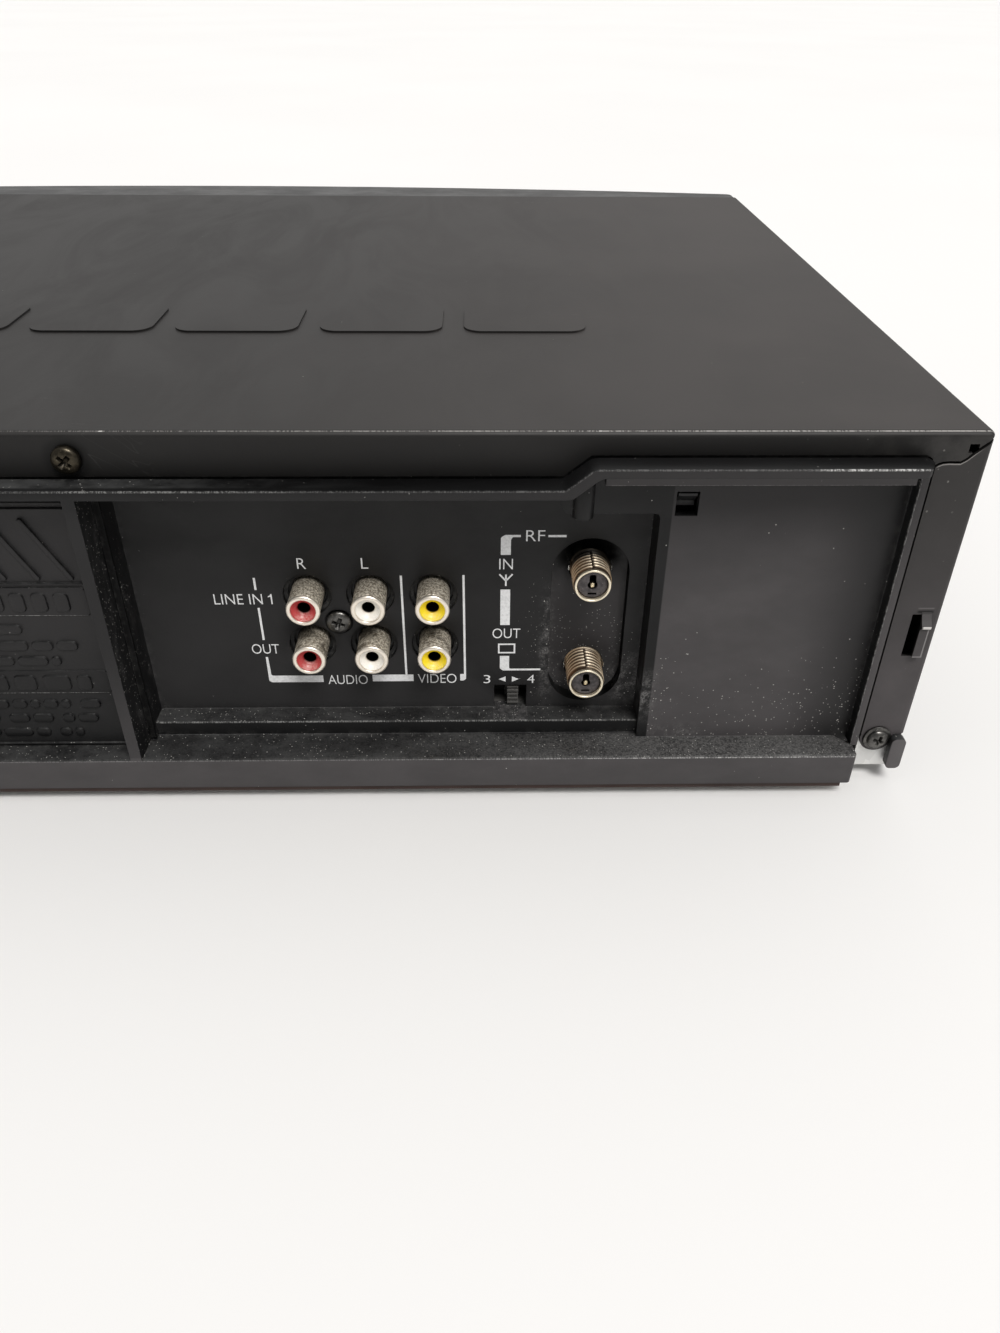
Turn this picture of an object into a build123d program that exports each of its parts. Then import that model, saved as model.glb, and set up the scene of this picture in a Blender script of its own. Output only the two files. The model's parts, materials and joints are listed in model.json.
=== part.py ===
from build123d import *
import math
import os

os.makedirs("parts", exist_ok=True)

# A full-width video cassette recorder, millimetres.
# X runs across the machine, -Y is the front, +Y the rear with the jacks, +Z up.
# The origin is on the floor under the middle of the machine.

# ---- driving dimensions -------------------------------------------------
WIDTH = 430.0            # over the steel cover
HALF = WIDTH / 2
COVER_TOP = 98.0         # cover's top face above the floor
SHEET = 0.8              # cover sheet
COVER_FRONT = -122.5     # cover meets the front bezel here
COVER_REAR = 138.5       # outer face of the cover's rear flange
COVER_SIDE_LOW = 15.2    # lower edge of the cover's sides
FLANGE_IN = 203.5        # inner edge of the cover's rear side flanges
BASE_LOW, BASE_TOP = 4.0, 5.0
FOOT_R = 11.0
REAR_TIP = 146.0         # rearmost plastic
PANEL_FACE = 137.5       # flat part of the rear panel
PANEL_WALL = 2.5
RECESS_FACE = 129.5      # floor of the jack recess
POCKET_FACE = 126.0      # floor of the aerial pocket
LEDGE_TOP = 14.0
SHELF_TOP = 18.0
BOW_MID, BOW_END = -146.0, -131.0   # front bezel face, middle and ends
BOW_R = (HALF**2 + (BOW_END - BOW_MID) ** 2) / (2 * (BOW_END - BOW_MID))
BOW_CY = BOW_MID + BOW_R
BEZEL_WALL = 3.0

JACK_X = (-62.0, -77.4, -92.8)      # right, left, picture
JACK_Z = (52.5, 38.1)               # in row, out row
JACK_SHELL_R = 4.15
JACK_TIP = 137.1
F_X = -131.0
F_Z = (58.4, 29.6)                  # aerial in, television out
F_R = 4.7625                        # 3/8 inch thread
F_TIP = 135.7
SWITCH_X, SWITCH_Z = -112.65, 21.6

SLOT_X, SLOT_LOW, SLOT_TOP = 99.0, 56.0, 89.8   # cassette slot
FLAP_AXIS_Y, FLAP_AXIS_Z = -140.2, 88.0
BUTTON_TRAVEL = 1.0
PCB_FRONT_Y = -118.0

DECK_LOW, DECK_TOP = 24.0, 25.2
REEL_X, REEL_Y, REEL_R = 46.25, -48.0, 22.0
DRUM_X, DRUM_Y, DRUM_Z, DRUM_R = 0.0, 50.0, 40.5, 31.0
CAPSTAN_X, CAPSTAN_Y = 56.0, 12.0
PINCH_PIVOT = (84.0, 10.0)
PINCH_ARM, PINCH_REST = 28.8, 221.65
GUIDE_START, GUIDE_END = (34.0, 0.0), (42.0, 52.0)
CAM_X, CAM_Y = -84.0, 40.0
CAM_TEETH, PINION_TEETH, GEAR_MODULE = 48, 12, 0.75


def bow_y(x, off):
    """Y of the bowed front surface, off millimetres behind the outer face."""
    return BOW_CY - math.sqrt((BOW_R - off) ** 2 - x * x)


def block(x0, x1, y0, y1, z0, z1, mode=Mode.ADD):
    with Locations(((x0 + x1) / 2, (y0 + y1) / 2, (z0 + z1) / 2)):
        Box(abs(x1 - x0), abs(y1 - y0), abs(z1 - z0), mode=mode)


def rod_x(x0, x1, y, z, r, mode=Mode.ADD):
    with Locations(Location(((x0 + x1) / 2, y, z), (0, 90, 0))):
        Cylinder(r, abs(x1 - x0), mode=mode)


def rod_y(x, z, y0, y1, r, mode=Mode.ADD):
    with Locations(Location((x, (y0 + y1) / 2, z), (90, 0, 0))):
        Cylinder(r, abs(y1 - y0), mode=mode)


def rod_z(x, y, z0, z1, r, mode=Mode.ADD):
    with Locations((x, y, (z0 + z1) / 2)):
        Cylinder(r, abs(z1 - z0), mode=mode)


def plate_xz(points, y0, y1, mode=Mode.ADD):
    with BuildSketch(Plane.XZ.offset(-y1)) as outline:
        Polygon(*points, align=None)
    extrude(outline.sketch, amount=y1 - y0, mode=mode)


def plate_xy(points, z0, z1, mode=Mode.ADD):
    with BuildSketch(Plane.XY.offset(z0)) as outline:
        Polygon(*points, align=None)
    extrude(outline.sketch, amount=z1 - z0, mode=mode)


def plate_yz(points, x0, x1, mode=Mode.ADD):
    with BuildSketch(Plane.YZ.offset(x0)) as outline:
        Polygon(*points, align=None)
    extrude(outline.sketch, amount=x1 - x0, mode=mode)


def bow_shell(x0, x1, off0, off1, z0, z1, mode=Mode.ADD):
    """Between two offsets of the bowed front surface."""
    xm = (x0 + x1) / 2
    with BuildSketch(Plane.XY.offset(z0)) as outline:
        with BuildLine():
            ThreePointArc((x0, bow_y(x0, off0)), (xm, bow_y(xm, off0)), (x1, bow_y(x1, off0)))
            Line((x1, bow_y(x1, off0)), (x1, bow_y(x1, off1)))
            ThreePointArc((x1, bow_y(x1, off1)), (xm, bow_y(xm, off1)), (x0, bow_y(x0, off1)))
            Line((x0, bow_y(x0, off1)), (x0, bow_y(x0, off0)))
        make_face()
    extrude(outline.sketch, amount=z1 - z0, mode=mode)


def bow_slab(x0, x1, off, y_back, z0, z1, mode=Mode.ADD):
    """From the bowed surface back to a flat rear plane."""
    xm = (x0 + x1) / 2
    with BuildSketch(Plane.XY.offset(z0)) as outline:
        with BuildLine():
            ThreePointArc((x0, bow_y(x0, off)), (xm, bow_y(xm, off)), (x1, bow_y(x1, off)))
            Polyline((x1, bow_y(x1, off)), (x1, y_back), (x0, y_back), (x0, bow_y(x0, off)))
        make_face()
    extrude(outline.sketch, amount=z1 - z0, mode=mode)


def screw_y(x, z, y_seat, head_r, head_h, shank_r, length):
    """Pan head screw whose head stands on the +Y side of its seat."""
    rod_y(x, z, y_seat - length, y_seat + 0.01, shank_r)
    rod_y(x, z, y_seat, y_seat + head_h, head_r)
    block(x - 0.45, x + 0.45, y_seat + head_h - 1.1, y_seat + head_h + 1, z - 1.75, z + 1.75, Mode.SUBTRACT)
    block(x - 1.75, x + 1.75, y_seat + head_h - 1.1, y_seat + head_h + 1, z - 0.45, z + 0.45, Mode.SUBTRACT)


# =========================== casing =====================================
# Folded steel cover: top, two sides, a rear flange round the panel opening.
REAR_OPENING = [
    (-FLANGE_IN, 14.0), (-FLANGE_IN, 90.1), (-202.3, 92.0), (-200.9, 92.7),
    (-128.4, 92.7), (-122.4, 87.9), (122.4, 87.9), (128.4, 92.7),
    (200.9, 92.7), (202.3, 92.0), (FLANGE_IN, 90.1), (FLANGE_IN, 14.0),
]
PAD_PITCH, PAD_W, PAD_D = 38.9, 33.0, 25.0

with BuildPart() as top_cover:
    block(-HALF, HALF, COVER_FRONT, COVER_REAR, COVER_SIDE_LOW, COVER_TOP)
    bends = top_cover.edges().filter_by(Axis.Y).filter_by(lambda e: e.center().Z > COVER_TOP - 0.1)
    bends += top_cover.edges().filter_by(Axis.X).filter_by(lambda e: e.center().Z > COVER_TOP - 0.1 and e.center().Y > 100)
    bends += top_cover.edges().filter_by(Axis.Z).filter_by(lambda e: e.center().Y > 100)
    fillet(bends, radius=1.3)
    # one row of raised panels where the sheet is embossed
    with BuildSketch(Plane.XY.offset(COVER_TOP - 0.1)):
        with Locations(*[((i - 3) * PAD_PITCH, 57.0) for i in range(7)]):
            RectangleRounded(PAD_W, PAD_D, 5.0)
    extrude(amount=0.6)
    block(-HALF + SHEET, HALF - SHEET, COVER_FRONT - 1, COVER_REAR - SHEET, COVER_SIDE_LOW - 1, COVER_TOP - SHEET, Mode.SUBTRACT)
    with BuildSketch(Plane.XY.offset(COVER_TOP - SHEET - 0.1)):
        with Locations(*[((i - 3) * PAD_PITCH, 57.0) for i in range(7)]):
            RectangleRounded(PAD_W - 1.6, PAD_D - 1.6, 4.2)
    extrude(amount=0.6, mode=Mode.SUBTRACT)
    plate_xz(REAR_OPENING, COVER_REAR - 1.5, COVER_REAR + 0.5, Mode.SUBTRACT)
    for s in (-1, 1):
        # open mitre between the top flange and each side flange
        plate_xz([(s * 215.6, 97.3), (s * 211.3, 93.75), (s * 209.9, 92.1), (s * 208.7, 91.25), (s * 206.3, 91.3), (s * 204.8, 91.15),
                  (s * 203.9, 90.8), (s * 203.2, 90.25), (s * 203.2, 89.6), (s * 204.1, 90.25), (s * 204.95, 90.65), (s * 206.3, 90.8),
                  (s * 208.85, 90.75), (s * 210.1, 91.55), (s * 211.7, 93.15), (s * 215.6, 96.5)],
                 COVER_REAR - 1.2, COVER_REAR + 0.5, Mode.SUBTRACT)
        block(s * 211.9, s * 209.8, COVER_REAR - 1.2, COVER_REAR + 0.5, 93.2, 95.2, Mode.SUBTRACT)
        # lanced hook tongue and its window
        # (it hangs from the window's upper edge and stands off behind the flange)
        block(s * 208.0, s * 212.6, COVER_REAR - 1.2, COVER_REAR + 0.5, 40.0, 52.0, Mode.SUBTRACT)
        plate_yz([(COVER_REAR, 52.7), (139.6, 51.0), (140.45, 49.9), (140.6, 49.4), (140.5, 49.0), (139.9, 48.5), (139.9, 40.4),
                  (139.1, 40.4), (139.1, 48.7), (139.5, 49.4), (138.9, 50.4), (COVER_REAR - SHEET, 52.1), (COVER_REAR - SHEET, 52.7)],
                 min(s * 210.1, s * 212.4), max(s * 210.1, s * 212.4))
        # rounded tab that takes the corner screw
        rod_y(s * 207.8, 14.1, COVER_REAR - SHEET, COVER_REAR, 4.3)
        rod_y(s * 207.8, 14.1, COVER_REAR - 1.5, COVER_REAR + 1, 1.7, Mode.SUBTRACT)
    rod_y(-16.4, 92.0, COVER_REAR - 1.5, COVER_REAR + 1, 1.7, Mode.SUBTRACT)
top_cover.part.label = "top_cover"
export_step(top_cover.part, "parts/top_cover.step")

with BuildPart() as cover_screws:
    for sx, sz in ((-16.4, 92.0), (-207.8, 14.1), (207.8, 14.1)):
        screw_y(sx, sz, COVER_REAR, 3.2, 2.1, 1.5, 6.0)
    heads = cover_screws.edges().filter_by(GeomType.CIRCLE).filter_by(lambda e: abs(e.radius - 3.2) < 0.01 and e.center().Y > COVER_REAR + 1)
    fillet(heads, radius=0.9)
cover_screws.part.label = "cover_screws"
export_step(cover_screws.part, "parts/cover_screws.step")

# Galvanised base pan with side walls, rear corner tabs, standoffs and vents.
DECK_POSTS = [(-96.0, -104.0), (96.0, -104.0), (-96.0, 72.0), (96.0, 72.0)]
BOARD_POSTS = [(-198.0, 118.0), (-20.0, 118.0), (-198.0, -100.0), (-118.0, -100.0), (-118.0, 90.0),
               (118.0, 118.0), (198.0, 118.0), (118.0, 0.0), (198.0, 0.0)]
FEET = [(-178.0, -104.0), (178.0, -104.0), (-178.0, 116.0), (178.0, 116.0)]
with BuildPart() as chassis_base:
    block(-211.4, 211.4, -122.4, 137.6, BASE_LOW, BASE_TOP)
    block(-198.5, 198.5, 137.6, 144.5, BASE_LOW, BASE_TOP)
    for s in (-1, 1):
        block(s * 210.4, s * 211.4, -122.4, 137.6, BASE_LOW, 88.0)
        block(s * 203.5, s * 213.0, 136.6, 137.6, BASE_LOW, 30.0)
        rod_y(s * 207.8, 14.1, 136.0, 138.0, 1.55, Mode.SUBTRACT)
        block(s * 209.9, s * 212.0, -60.0, -20.0, 40.0, 60.0, Mode.SUBTRACT)
        block(s * 209.9, s * 212.0, 20.0, 60.0, 40.0, 60.0, Mode.SUBTRACT)
        # notch beside the cover's hook tongue
        block(s * 209.9, s * 212.0, 124.0, 139.0, 35.0, 57.0, Mode.SUBTRACT)
    for px, py in DECK_POSTS:
        rod_z(px, py, BASE_TOP - 0.2, DECK_LOW, 5.0)
        rod_z(px, py, 15.0, DECK_LOW + 1, 1.3, Mode.SUBTRACT)
    for px, py in BOARD_POSTS:
        rod_z(px, py, BASE_TOP - 0.2, 10.0, 3.0)
    with BuildSketch(Plane.XY.offset(BASE_LOW - 0.5)):
        with GridLocations(9.0, 46.0, 7, 2):
            SlotOverall(34.0, 3.0, rotation=90)
    extrude(amount=2.0, mode=Mode.SUBTRACT)
chassis_base.part.label = "chassis_base"
export_step(chassis_base.part, "parts/chassis_base.step")

# Black plastic runner under each side of the cover, ending in a rounded tab.
with BuildPart() as side_rails:
    for s in (-1, 1):
        block(s * 211.5, s * HALF, -122.4, 136.5, 3.6, 13.8)
        block(s * 213.1, s * HALF, 136.4, 137.8, 3.6, 13.8)
        block(s * 212.0, s * HALF, 137.7, 140.3, 3.6, 13.8)
    tips = side_rails.edges().filter_by(Axis.Y).filter_by(lambda e: e.center().Y > 138.5)
    fillet(tips, radius=1.1)
side_rails.part.label = "side_rails"
export_step(side_rails.part, "parts/side_rails.step")

with BuildPart() as rubber_feet:
    for fx, fy in FEET:
        rod_z(fx, fy, 0.0, BASE_LOW, FOOT_R)
        rod_z(fx, fy, -1.0, 0.8, 4.0, Mode.SUBTRACT)
    rims = rubber_feet.edges().filter_by(GeomType.CIRCLE).filter_by(lambda e: abs(e.radius - FOOT_R) < 0.01 and e.center().Z < 0.1)
    fillet(rims, radius=1.0)
rubber_feet.part.label = "rubber_feet"
export_step(rubber_feet.part, "parts/rubber_feet.step")

# Rail behind the top of the rear panel: takes the cover's middle screw and
# pokes two latch wedges through the panel's square holes.
with BuildPart() as rear_bracket:
    block(-209.5, 209.5, 133.4, 134.6, 88.4, 96.0)
    block(-209.5, 209.5, 112.0, 134.6, 94.8, 96.0)
    rod_y(-16.4, 92.0, 134.0, 137.6, 4.4)
    rod_y(-16.4, 92.0, 133.0, 138.0, 1.55, Mode.SUBTRACT)
    for s in (-1, 1):
        block(s * 148.4, s * 152.7, 133.4, 134.6, 79.0, 88.6)
        plate_yz([(134.5, 83.2), (134.5, 80.2), (137.2, 82.6), (137.2, 83.2)], min(s * 148.4, s * 152.7), max(s * 148.4, s * 152.7))
rear_bracket.part.label = "rear_bracket"
export_step(rear_bracket.part, "parts/rear_bracket.step")

# =========================== rear panel =================================
RECESS = [(-144.8, 13.0), (-144.8, 78.3), (-123.4, 78.3), (-121.6, 82.0), (-121.6, 85.7), (-20.3, 85.7), (-20.3, 13.0)]
EAVE_TOP = [(-202.2, 91.9), (-200.8, 92.6), (-128.5, 92.6), (-122.5, 87.8), (122.5, 87.8), (128.5, 92.6), (200.8, 92.6), (202.2, 91.9)]
EAVE_LOW = [(203.0, 90.6), (129.9, 90.6), (123.9, 85.7), (-123.9, 85.7), (-129.9, 90.6), (-203.0, 90.6)]
LABEL_X0, LABEL_X1 = -16.0, 46.0
LABEL_LINES = (13.9 + 9.2, 30.1, 37.5, 45.0, 52.5, 60.1)

# The panel is one moulding. It is held as plain solids that meet face to face:
# wall, recess floor, pocket floor, recess rim, shelf, ledge, eave, rim bars, pillars.
with BuildPart() as panel_wall:
    block(-203.2, 203.2, PANEL_FACE - PANEL_WALL, PANEL_FACE, LEDGE_TOP, 92.5)
    block(-147.3, -17.5, PANEL_FACE - PANEL_WALL - 1, PANEL_FACE + 1, LEDGE_TOP - 1, 88.2, Mode.SUBTRACT)
    for s in (-1, 1):
        block(s * 148.0, s * 153.1, PANEL_FACE - 4, PANEL_FACE + 1, 77.8, 83.7, Mode.SUBTRACT)
    # framed field between the pillars
    block(LABEL_X0, LABEL_X1, PANEL_FACE - PANEL_WALL, 139.6, LEDGE_TOP, 85.7)
    for z in LABEL_LINES + (80.5,):
        block(-13.2, 43.2, 139.4, 140.3, z - 0.35, z + 0.35)
    for x in (-13.2, 42.5):
        block(x, x + 0.7, 139.4, 140.3, 22.8, 80.8)
    # clearance round the middle cover screw's boss
    rod_y(-16.4, 92.0, 120.0, PANEL_FACE + 0.1, 4.8, Mode.SUBTRACT)
    # mains inlet opening in the other half, and two fixing screws
    block(148.5, 171.5, 130.0, 140.0, 24.5, 41.5, Mode.SUBTRACT)
    rod_y(100.0, 24.0, 130.0, 140.0, 1.6, Mode.SUBTRACT)
    rod_y(186.0, 70.0, 130.0, 140.0, 1.6, Mode.SUBTRACT)
    # vent slots above the mains inlet
    with BuildSketch(Plane.XZ.offset(-140.0)):
        with Locations((125.0, 62.0)):
            with GridLocations(7.0, 1.0, 10, 1):
                SlotOverall(22.0, 2.6, rotation=90)
    extrude(amount=10.0, mode=Mode.SUBTRACT)

with BuildPart() as panel_recess_floor:
    block(-147.3, -17.5, RECESS_FACE - PANEL_WALL, RECESS_FACE, LEDGE_TOP, 88.2)
    block(-143.0, -119.0, POCKET_FACE, RECESS_FACE - 1, 16.0, 71.0)
    with BuildSketch(Plane.XZ.offset(-RECESS_FACE - 0.1)):
        with Locations((F_X, 44.0)):
            SlotOverall(47.9, 18.8, rotation=90)
    extrude(amount=RECESS_FACE + 0.1 - POCKET_FACE + 1, mode=Mode.SUBTRACT)
    # phono jack holes with a shallow counterbore
    for x in JACK_X:
        for z in JACK_Z:
            rod_y(x, z, 120.0, 131.0, 4.8, Mode.SUBTRACT)
            rod_y(x, z, RECESS_FACE - 0.6, 131.0, 5.85, Mode.SUBTRACT)
    rod_y(-69.1, 44.9, 120.0, 131.0, 1.6, Mode.SUBTRACT)
    rod_y(-69.1, 44.9, RECESS_FACE - 0.4, 131.0, 3.3, Mode.SUBTRACT)
    block(-116.2, -107.8, 120.0, RECESS_FACE + 0.2, SHELF_TOP + 0.1, 25.1, Mode.SUBTRACT)

# the floor plate as five butted tiles, parted around the aerial pocket
floor_tiles = []
for x0, x1, z0, z1 in (
    (-119.0, -17.5, LEDGE_TOP, 88.2),
    (-147.3, -119.0, 58.55, 88.2),
    (-147.3, -119.0, LEDGE_TOP, 29.45),
    (-121.6, -119.0, 29.45, 58.55),
    (-147.3, -140.4, 29.45, 58.55),
):
    with BuildPart() as floor_tile:
        add(panel_recess_floor.part)
        block(x0, x1, POCKET_FACE - 1, RECESS_FACE + 1, z0, z1, Mode.INTERSECT)
    floor_tiles.append(floor_tile.part)

with BuildPart() as panel_pocket_floor:
    block(-143.0, -119.0, POCKET_FACE - PANEL_WALL, POCKET_FACE, 16.0, 71.0)
    for z in F_Z:
        rod_y(F_X, z, 120.0, 130.0, 5.1, Mode.SUBTRACT)

with BuildPart() as panel_recess_rim:
    block(-147.3, -17.5, RECESS_FACE, PANEL_FACE, LEDGE_TOP, 88.2)
    plate_xz(RECESS, RECESS_FACE - 0.5, PANEL_FACE + 0.5, Mode.SUBTRACT)
    # hollow behind the thick upper right corner of the recess
    block(-145.5, -124.5, 120.0, 134.5, 80.0, 87.0, Mode.SUBTRACT)
    rod_z(-127.35, PANEL_FACE - 0.4, 77.6, 85.0, 2.45)
    rod_y(-16.4, 92.0, 120.0, PANEL_FACE + 0.1, 4.8, Mode.SUBTRACT)

with BuildPart() as panel_shelf:
    block(-144.8, -20.3, RECESS_FACE, 135.5, LEDGE_TOP, SHELF_TOP)

# ledge along the bottom, hollow from behind
with BuildPart() as panel_ledge:
    plate_xy([(-200.5, REAR_TIP), (-200.5, 141.5), (-197.0, 138.0), (-197.0, 127.0),
              (197.0, 127.0), (197.0, 138.0), (200.5, 141.5), (200.5, REAR_TIP)], 5.0, LEDGE_TOP)
    ends = panel_ledge.edges().filter_by(Axis.Y).filter_by(lambda e: abs(abs(e.center().X) - 200.5) < 0.1 and e.center().Z < 5.1)
    fillet(ends, radius=3.0)
    block(-194.0, 194.0, 126.0, 143.5, 4.0, 11.5, Mode.SUBTRACT)
    for s in (-1, 1):
        block(s * 196.5, s * 203.2, PANEL_FACE - PANEL_WALL, PANEL_FACE, 12.0, LEDGE_TOP)

# eave with its step, then the set-back strip under the high part
with BuildPart() as panel_eave:
    plate_xz(EAVE_TOP + EAVE_LOW, PANEL_FACE, REAR_TIP)
    for s in (-1, 1):
        block(s * 131.5, s * 199.0, PANEL_FACE, 141.5, 87.0, 91.0)
        # each end narrows toward the tip
        plate_xy([(s * 199.8, REAR_TIP + 0.1), (s * 199.8, REAR_TIP), (s * 203.2, PANEL_FACE + 1.0), (s * 204.5, PANEL_FACE + 1.0), (s * 204.5, REAR_TIP + 0.1)],
                 80.0, 99.0, Mode.SUBTRACT)
    rod_y(-16.4, 92.0, 120.0, PANEL_FACE + 0.1, 4.8, Mode.SUBTRACT)

with BuildPart() as panel_rim_bars:
    for s in (-1, 1):
        block(s * 200.1, s * 201.9, PANEL_FACE, 141.0, 13.5, 90.6)

# dividing pillars each side of the framed field
with BuildPart() as panel_pillars:
    for x0, x1 in ((-18.8, LABEL_X0), (LABEL_X1, 48.8)):
        block(x0, x1, PANEL_FACE, REAR_TIP, LEDGE_TOP, 85.7)

with BuildPart() as rear_panel:
    add([panel_wall.part, *floor_tiles, panel_pocket_floor.part, panel_recess_rim.part, panel_shelf.part,
         panel_ledge.part, panel_eave.part, panel_rim_bars.part, panel_pillars.part], mode=Mode.REPLACE)
rear_panel.part.label = "rear_panel"
export_step(rear_panel.part, "parts/rear_panel.step")

with BuildPart() as rear_panel_screws:
    screw_y(-69.1, 44.9, RECESS_FACE - 0.4, 3.0, 2.0, 1.5, 12.0)
    screw_y(100.0, 24.0, PANEL_FACE, 3.0, 2.0, 1.5, 9.0)
    screw_y(186.0, 70.0, PANEL_FACE, 3.0, 2.0, 1.5, 9.0)
    heads = rear_panel_screws.edges().filter_by(GeomType.CIRCLE).filter_by(lambda e: abs(e.radius - 3.0) < 0.01 and e.center().Y > RECESS_FACE + 1)
    fillet(heads, radius=0.8)
rear_panel_screws.part.label = "rear_panel_screws"
export_step(rear_panel_screws.part, "parts/rear_panel_screws.step")

# =========================== phono jacks ================================
with BuildPart() as rca_jack_block:
    block(-100.0, -55.0, 108.0, 126.9, 30.0, 60.5)
    block(-100.0, -55.0, 108.0, 118.0, 13.0, 30.5)
    for x in JACK_X:
        for z in JACK_Z:
            rod_y(x, z, 116.0, 128.0, JACK_SHELL_R + 0.02, Mode.SUBTRACT)
    rod_y(-69.1, 44.9, 112.0, 128.0, 1.52, Mode.SUBTRACT)
rca_jack_block.part.label = "rca_jack_block"
export_step(rca_jack_block.part, "parts/rca_jack_block.step")


def jack_shell(x, z, y0, y1, sign=1):
    """Plated tube with a rolled lip, sign +1 when its mouth faces +Y."""
    with BuildSketch(Plane(origin=(x, 0, z), x_dir=(1, 0, 0), z_dir=(0, 0, 1))) as profile:
        with BuildLine():
            if sign > 0:
                Polyline((3.6, y0), (4.15, y0), (4.15, y1 - 0.25), (4.0, y1), (3.7, y1), (3.55, y1 - 0.25), (3.6, y1 - 0.9), (3.6, y0))
            else:
                Polyline((3.6, y1), (4.15, y1), (4.15, y0 + 0.25), (4.0, y0), (3.7, y0), (3.55, y0 + 0.25), (3.6, y0 + 0.9), (3.6, y1))
        make_face()
    revolve(profile.sketch, axis=Axis((x, 0, z), (0, 1, 0)), revolution_arc=360)


def jack_insert(x, z, y0, y1, sign=1):
    """Coloured insulator: flat ring, funnel, then the centre hole."""
    with BuildSketch(Plane(origin=(x, 0, z), x_dir=(1, 0, 0), z_dir=(0, 0, 1))) as profile:
        with BuildLine():
            if sign > 0:
                Polyline((0.0, y0), (3.5, y0), (3.5, y1 - 1.0), (2.85, y1 - 0.7), (1.85, y1 - 2.4), (1.6, y1 - 2.7), (1.6, y0 + 2.0), (0.0, y0 + 2.0), (0.0, y0))
            else:
                Polyline((0.0, y1), (3.5, y1), (3.5, y0 + 1.0), (2.85, y0 + 0.7), (1.85, y0 + 2.4), (1.6, y0 + 2.7), (1.6, y1 - 2.0), (0.0, y1 - 2.0), (0.0, y1))
        make_face()
    revolve(profile.sketch, axis=Axis((x, 0, z), (0, 1, 0)), revolution_arc=360)


with BuildPart() as rca_shells:
    for x in JACK_X:
        for z in JACK_Z:
            jack_shell(x, z, 118.0, JACK_TIP)
rca_shells.part.label = "rca_shells"
export_step(rca_shells.part, "parts/rca_shells.step")

with BuildPart() as rca_inserts_red:
    for z in JACK_Z:
        jack_insert(JACK_X[0], z, 120.0, JACK_TIP)
rca_inserts_red.part.label = "rca_inserts_red"
export_step(rca_inserts_red.part, "parts/rca_inserts_red.step")

with BuildPart() as rca_inserts_white:
    for z in JACK_Z:
        jack_insert(JACK_X[1], z, 120.0, JACK_TIP)
rca_inserts_white.part.label = "rca_inserts_white"
export_step(rca_inserts_white.part, "parts/rca_inserts_white.step")

with BuildPart() as rca_inserts_yellow:
    for z in JACK_Z:
        jack_insert(JACK_X[2], z, 120.0, JACK_TIP)
rca_inserts_yellow.part.label = "rca_inserts_yellow"
export_step(rca_inserts_yellow.part, "parts/rca_inserts_yellow.step")

# =========================== aerial modulator ===========================
with BuildPart() as rf_modulator_can:
    block(-145.0, -119.0, 96.0, 120.0, 12.0, 72.0)
    block(-144.4, -119.6, 96.6, 119.4, 12.6, 71.4, Mode.SUBTRACT)
    for z in F_Z:
        rod_y(F_X, z, 118.0, 121.0, 3.0, Mode.SUBTRACT)
rf_modulator_can.part.label = "rf_modulator_can"
export_step(rf_modulator_can.part, "parts/rf_modulator_can.step")

THREAD_PITCH = 25.4 / 32


def f_connector(x, z):
    """Threaded barrel with rounded thread ridges and a plain end ring."""
    ridge, root = F_R, F_R - 0.42
    pts = [(3.6, 120.0), (6.2, 120.0), (6.2, 123.3), (4.9, 123.3), (4.9, POCKET_FACE + 0.2), (root, POCKET_FACE + 0.4)]
    y = POCKET_FACE + 0.4
    while y + THREAD_PITCH < F_TIP - 1.0:
        pts += [(ridge, y + THREAD_PITCH * 0.38), (ridge, y + THREAD_PITCH * 0.62), (root, y + THREAD_PITCH)]
        y += THREAD_PITCH
    pts += [(root, F_TIP - 0.9), (4.36, F_TIP - 0.8), (4.36, F_TIP - 0.15), (4.2, F_TIP), (3.75, F_TIP), (3.6, F_TIP - 0.2), (3.6, 120.0)]
    with BuildSketch(Plane(origin=(x, 0, z), x_dir=(1, 0, 0), z_dir=(0, 0, 1))) as profile:
        with BuildLine():
            Polyline(*pts)
        make_face()
    revolve(profile.sketch, axis=Axis((x, 0, z), (0, 1, 0)), revolution_arc=360)


with BuildPart() as f_connector_in:
    f_connector(F_X, F_Z[0])
f_connector_in.part.label = "f_connector_in"
export_step(f_connector_in.part, "parts/f_connector_in.step")

with BuildPart() as f_connector_out:
    f_connector(F_X, F_Z[1])
f_connector_out.part.label = "f_connector_out"
export_step(f_connector_out.part, "parts/f_connector_out.step")

with BuildPart() as f_connector_insulators:
    for z in F_Z:
        rod_y(F_X, z, 121.0, F_TIP - 0.7, 3.57)
        rod_y(F_X, z, 124.0, F_TIP, 0.95, Mode.SUBTRACT)
        block(F_X - 0.45, F_X + 0.45, 124.0, F_TIP, z - 0.3, z + 2.3, Mode.SUBTRACT)
        block(F_X - 0.9, F_X + 0.9, F_TIP - 1.2, F_TIP, z - 2.9, z - 2.3, Mode.SUBTRACT)
f_connector_insulators.part.label = "f_connector_insulators"
export_step(f_connector_insulators.part, "parts/f_connector_insulators.step")

with BuildPart() as f_connector_contacts:
    for z in F_Z:
        with Locations(Location((F_X, 128.9, z - 0.0), (90, 0, 0))):
            Cylinder(0.9, 9.0)
        with Locations(Location((F_X, 131.0, z - 0.0), (90, 0, 0))):
            Cylinder(0.55, 8.0, mode=Mode.SUBTRACT)
        block(F_X - 0.3, F_X + 0.3, 128.0, 134.0, z, z + 1.2, Mode.SUBTRACT)
f_connector_contacts.part.label = "f_connector_contacts"
export_step(f_connector_contacts.part, "parts/f_connector_contacts.step")

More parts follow.
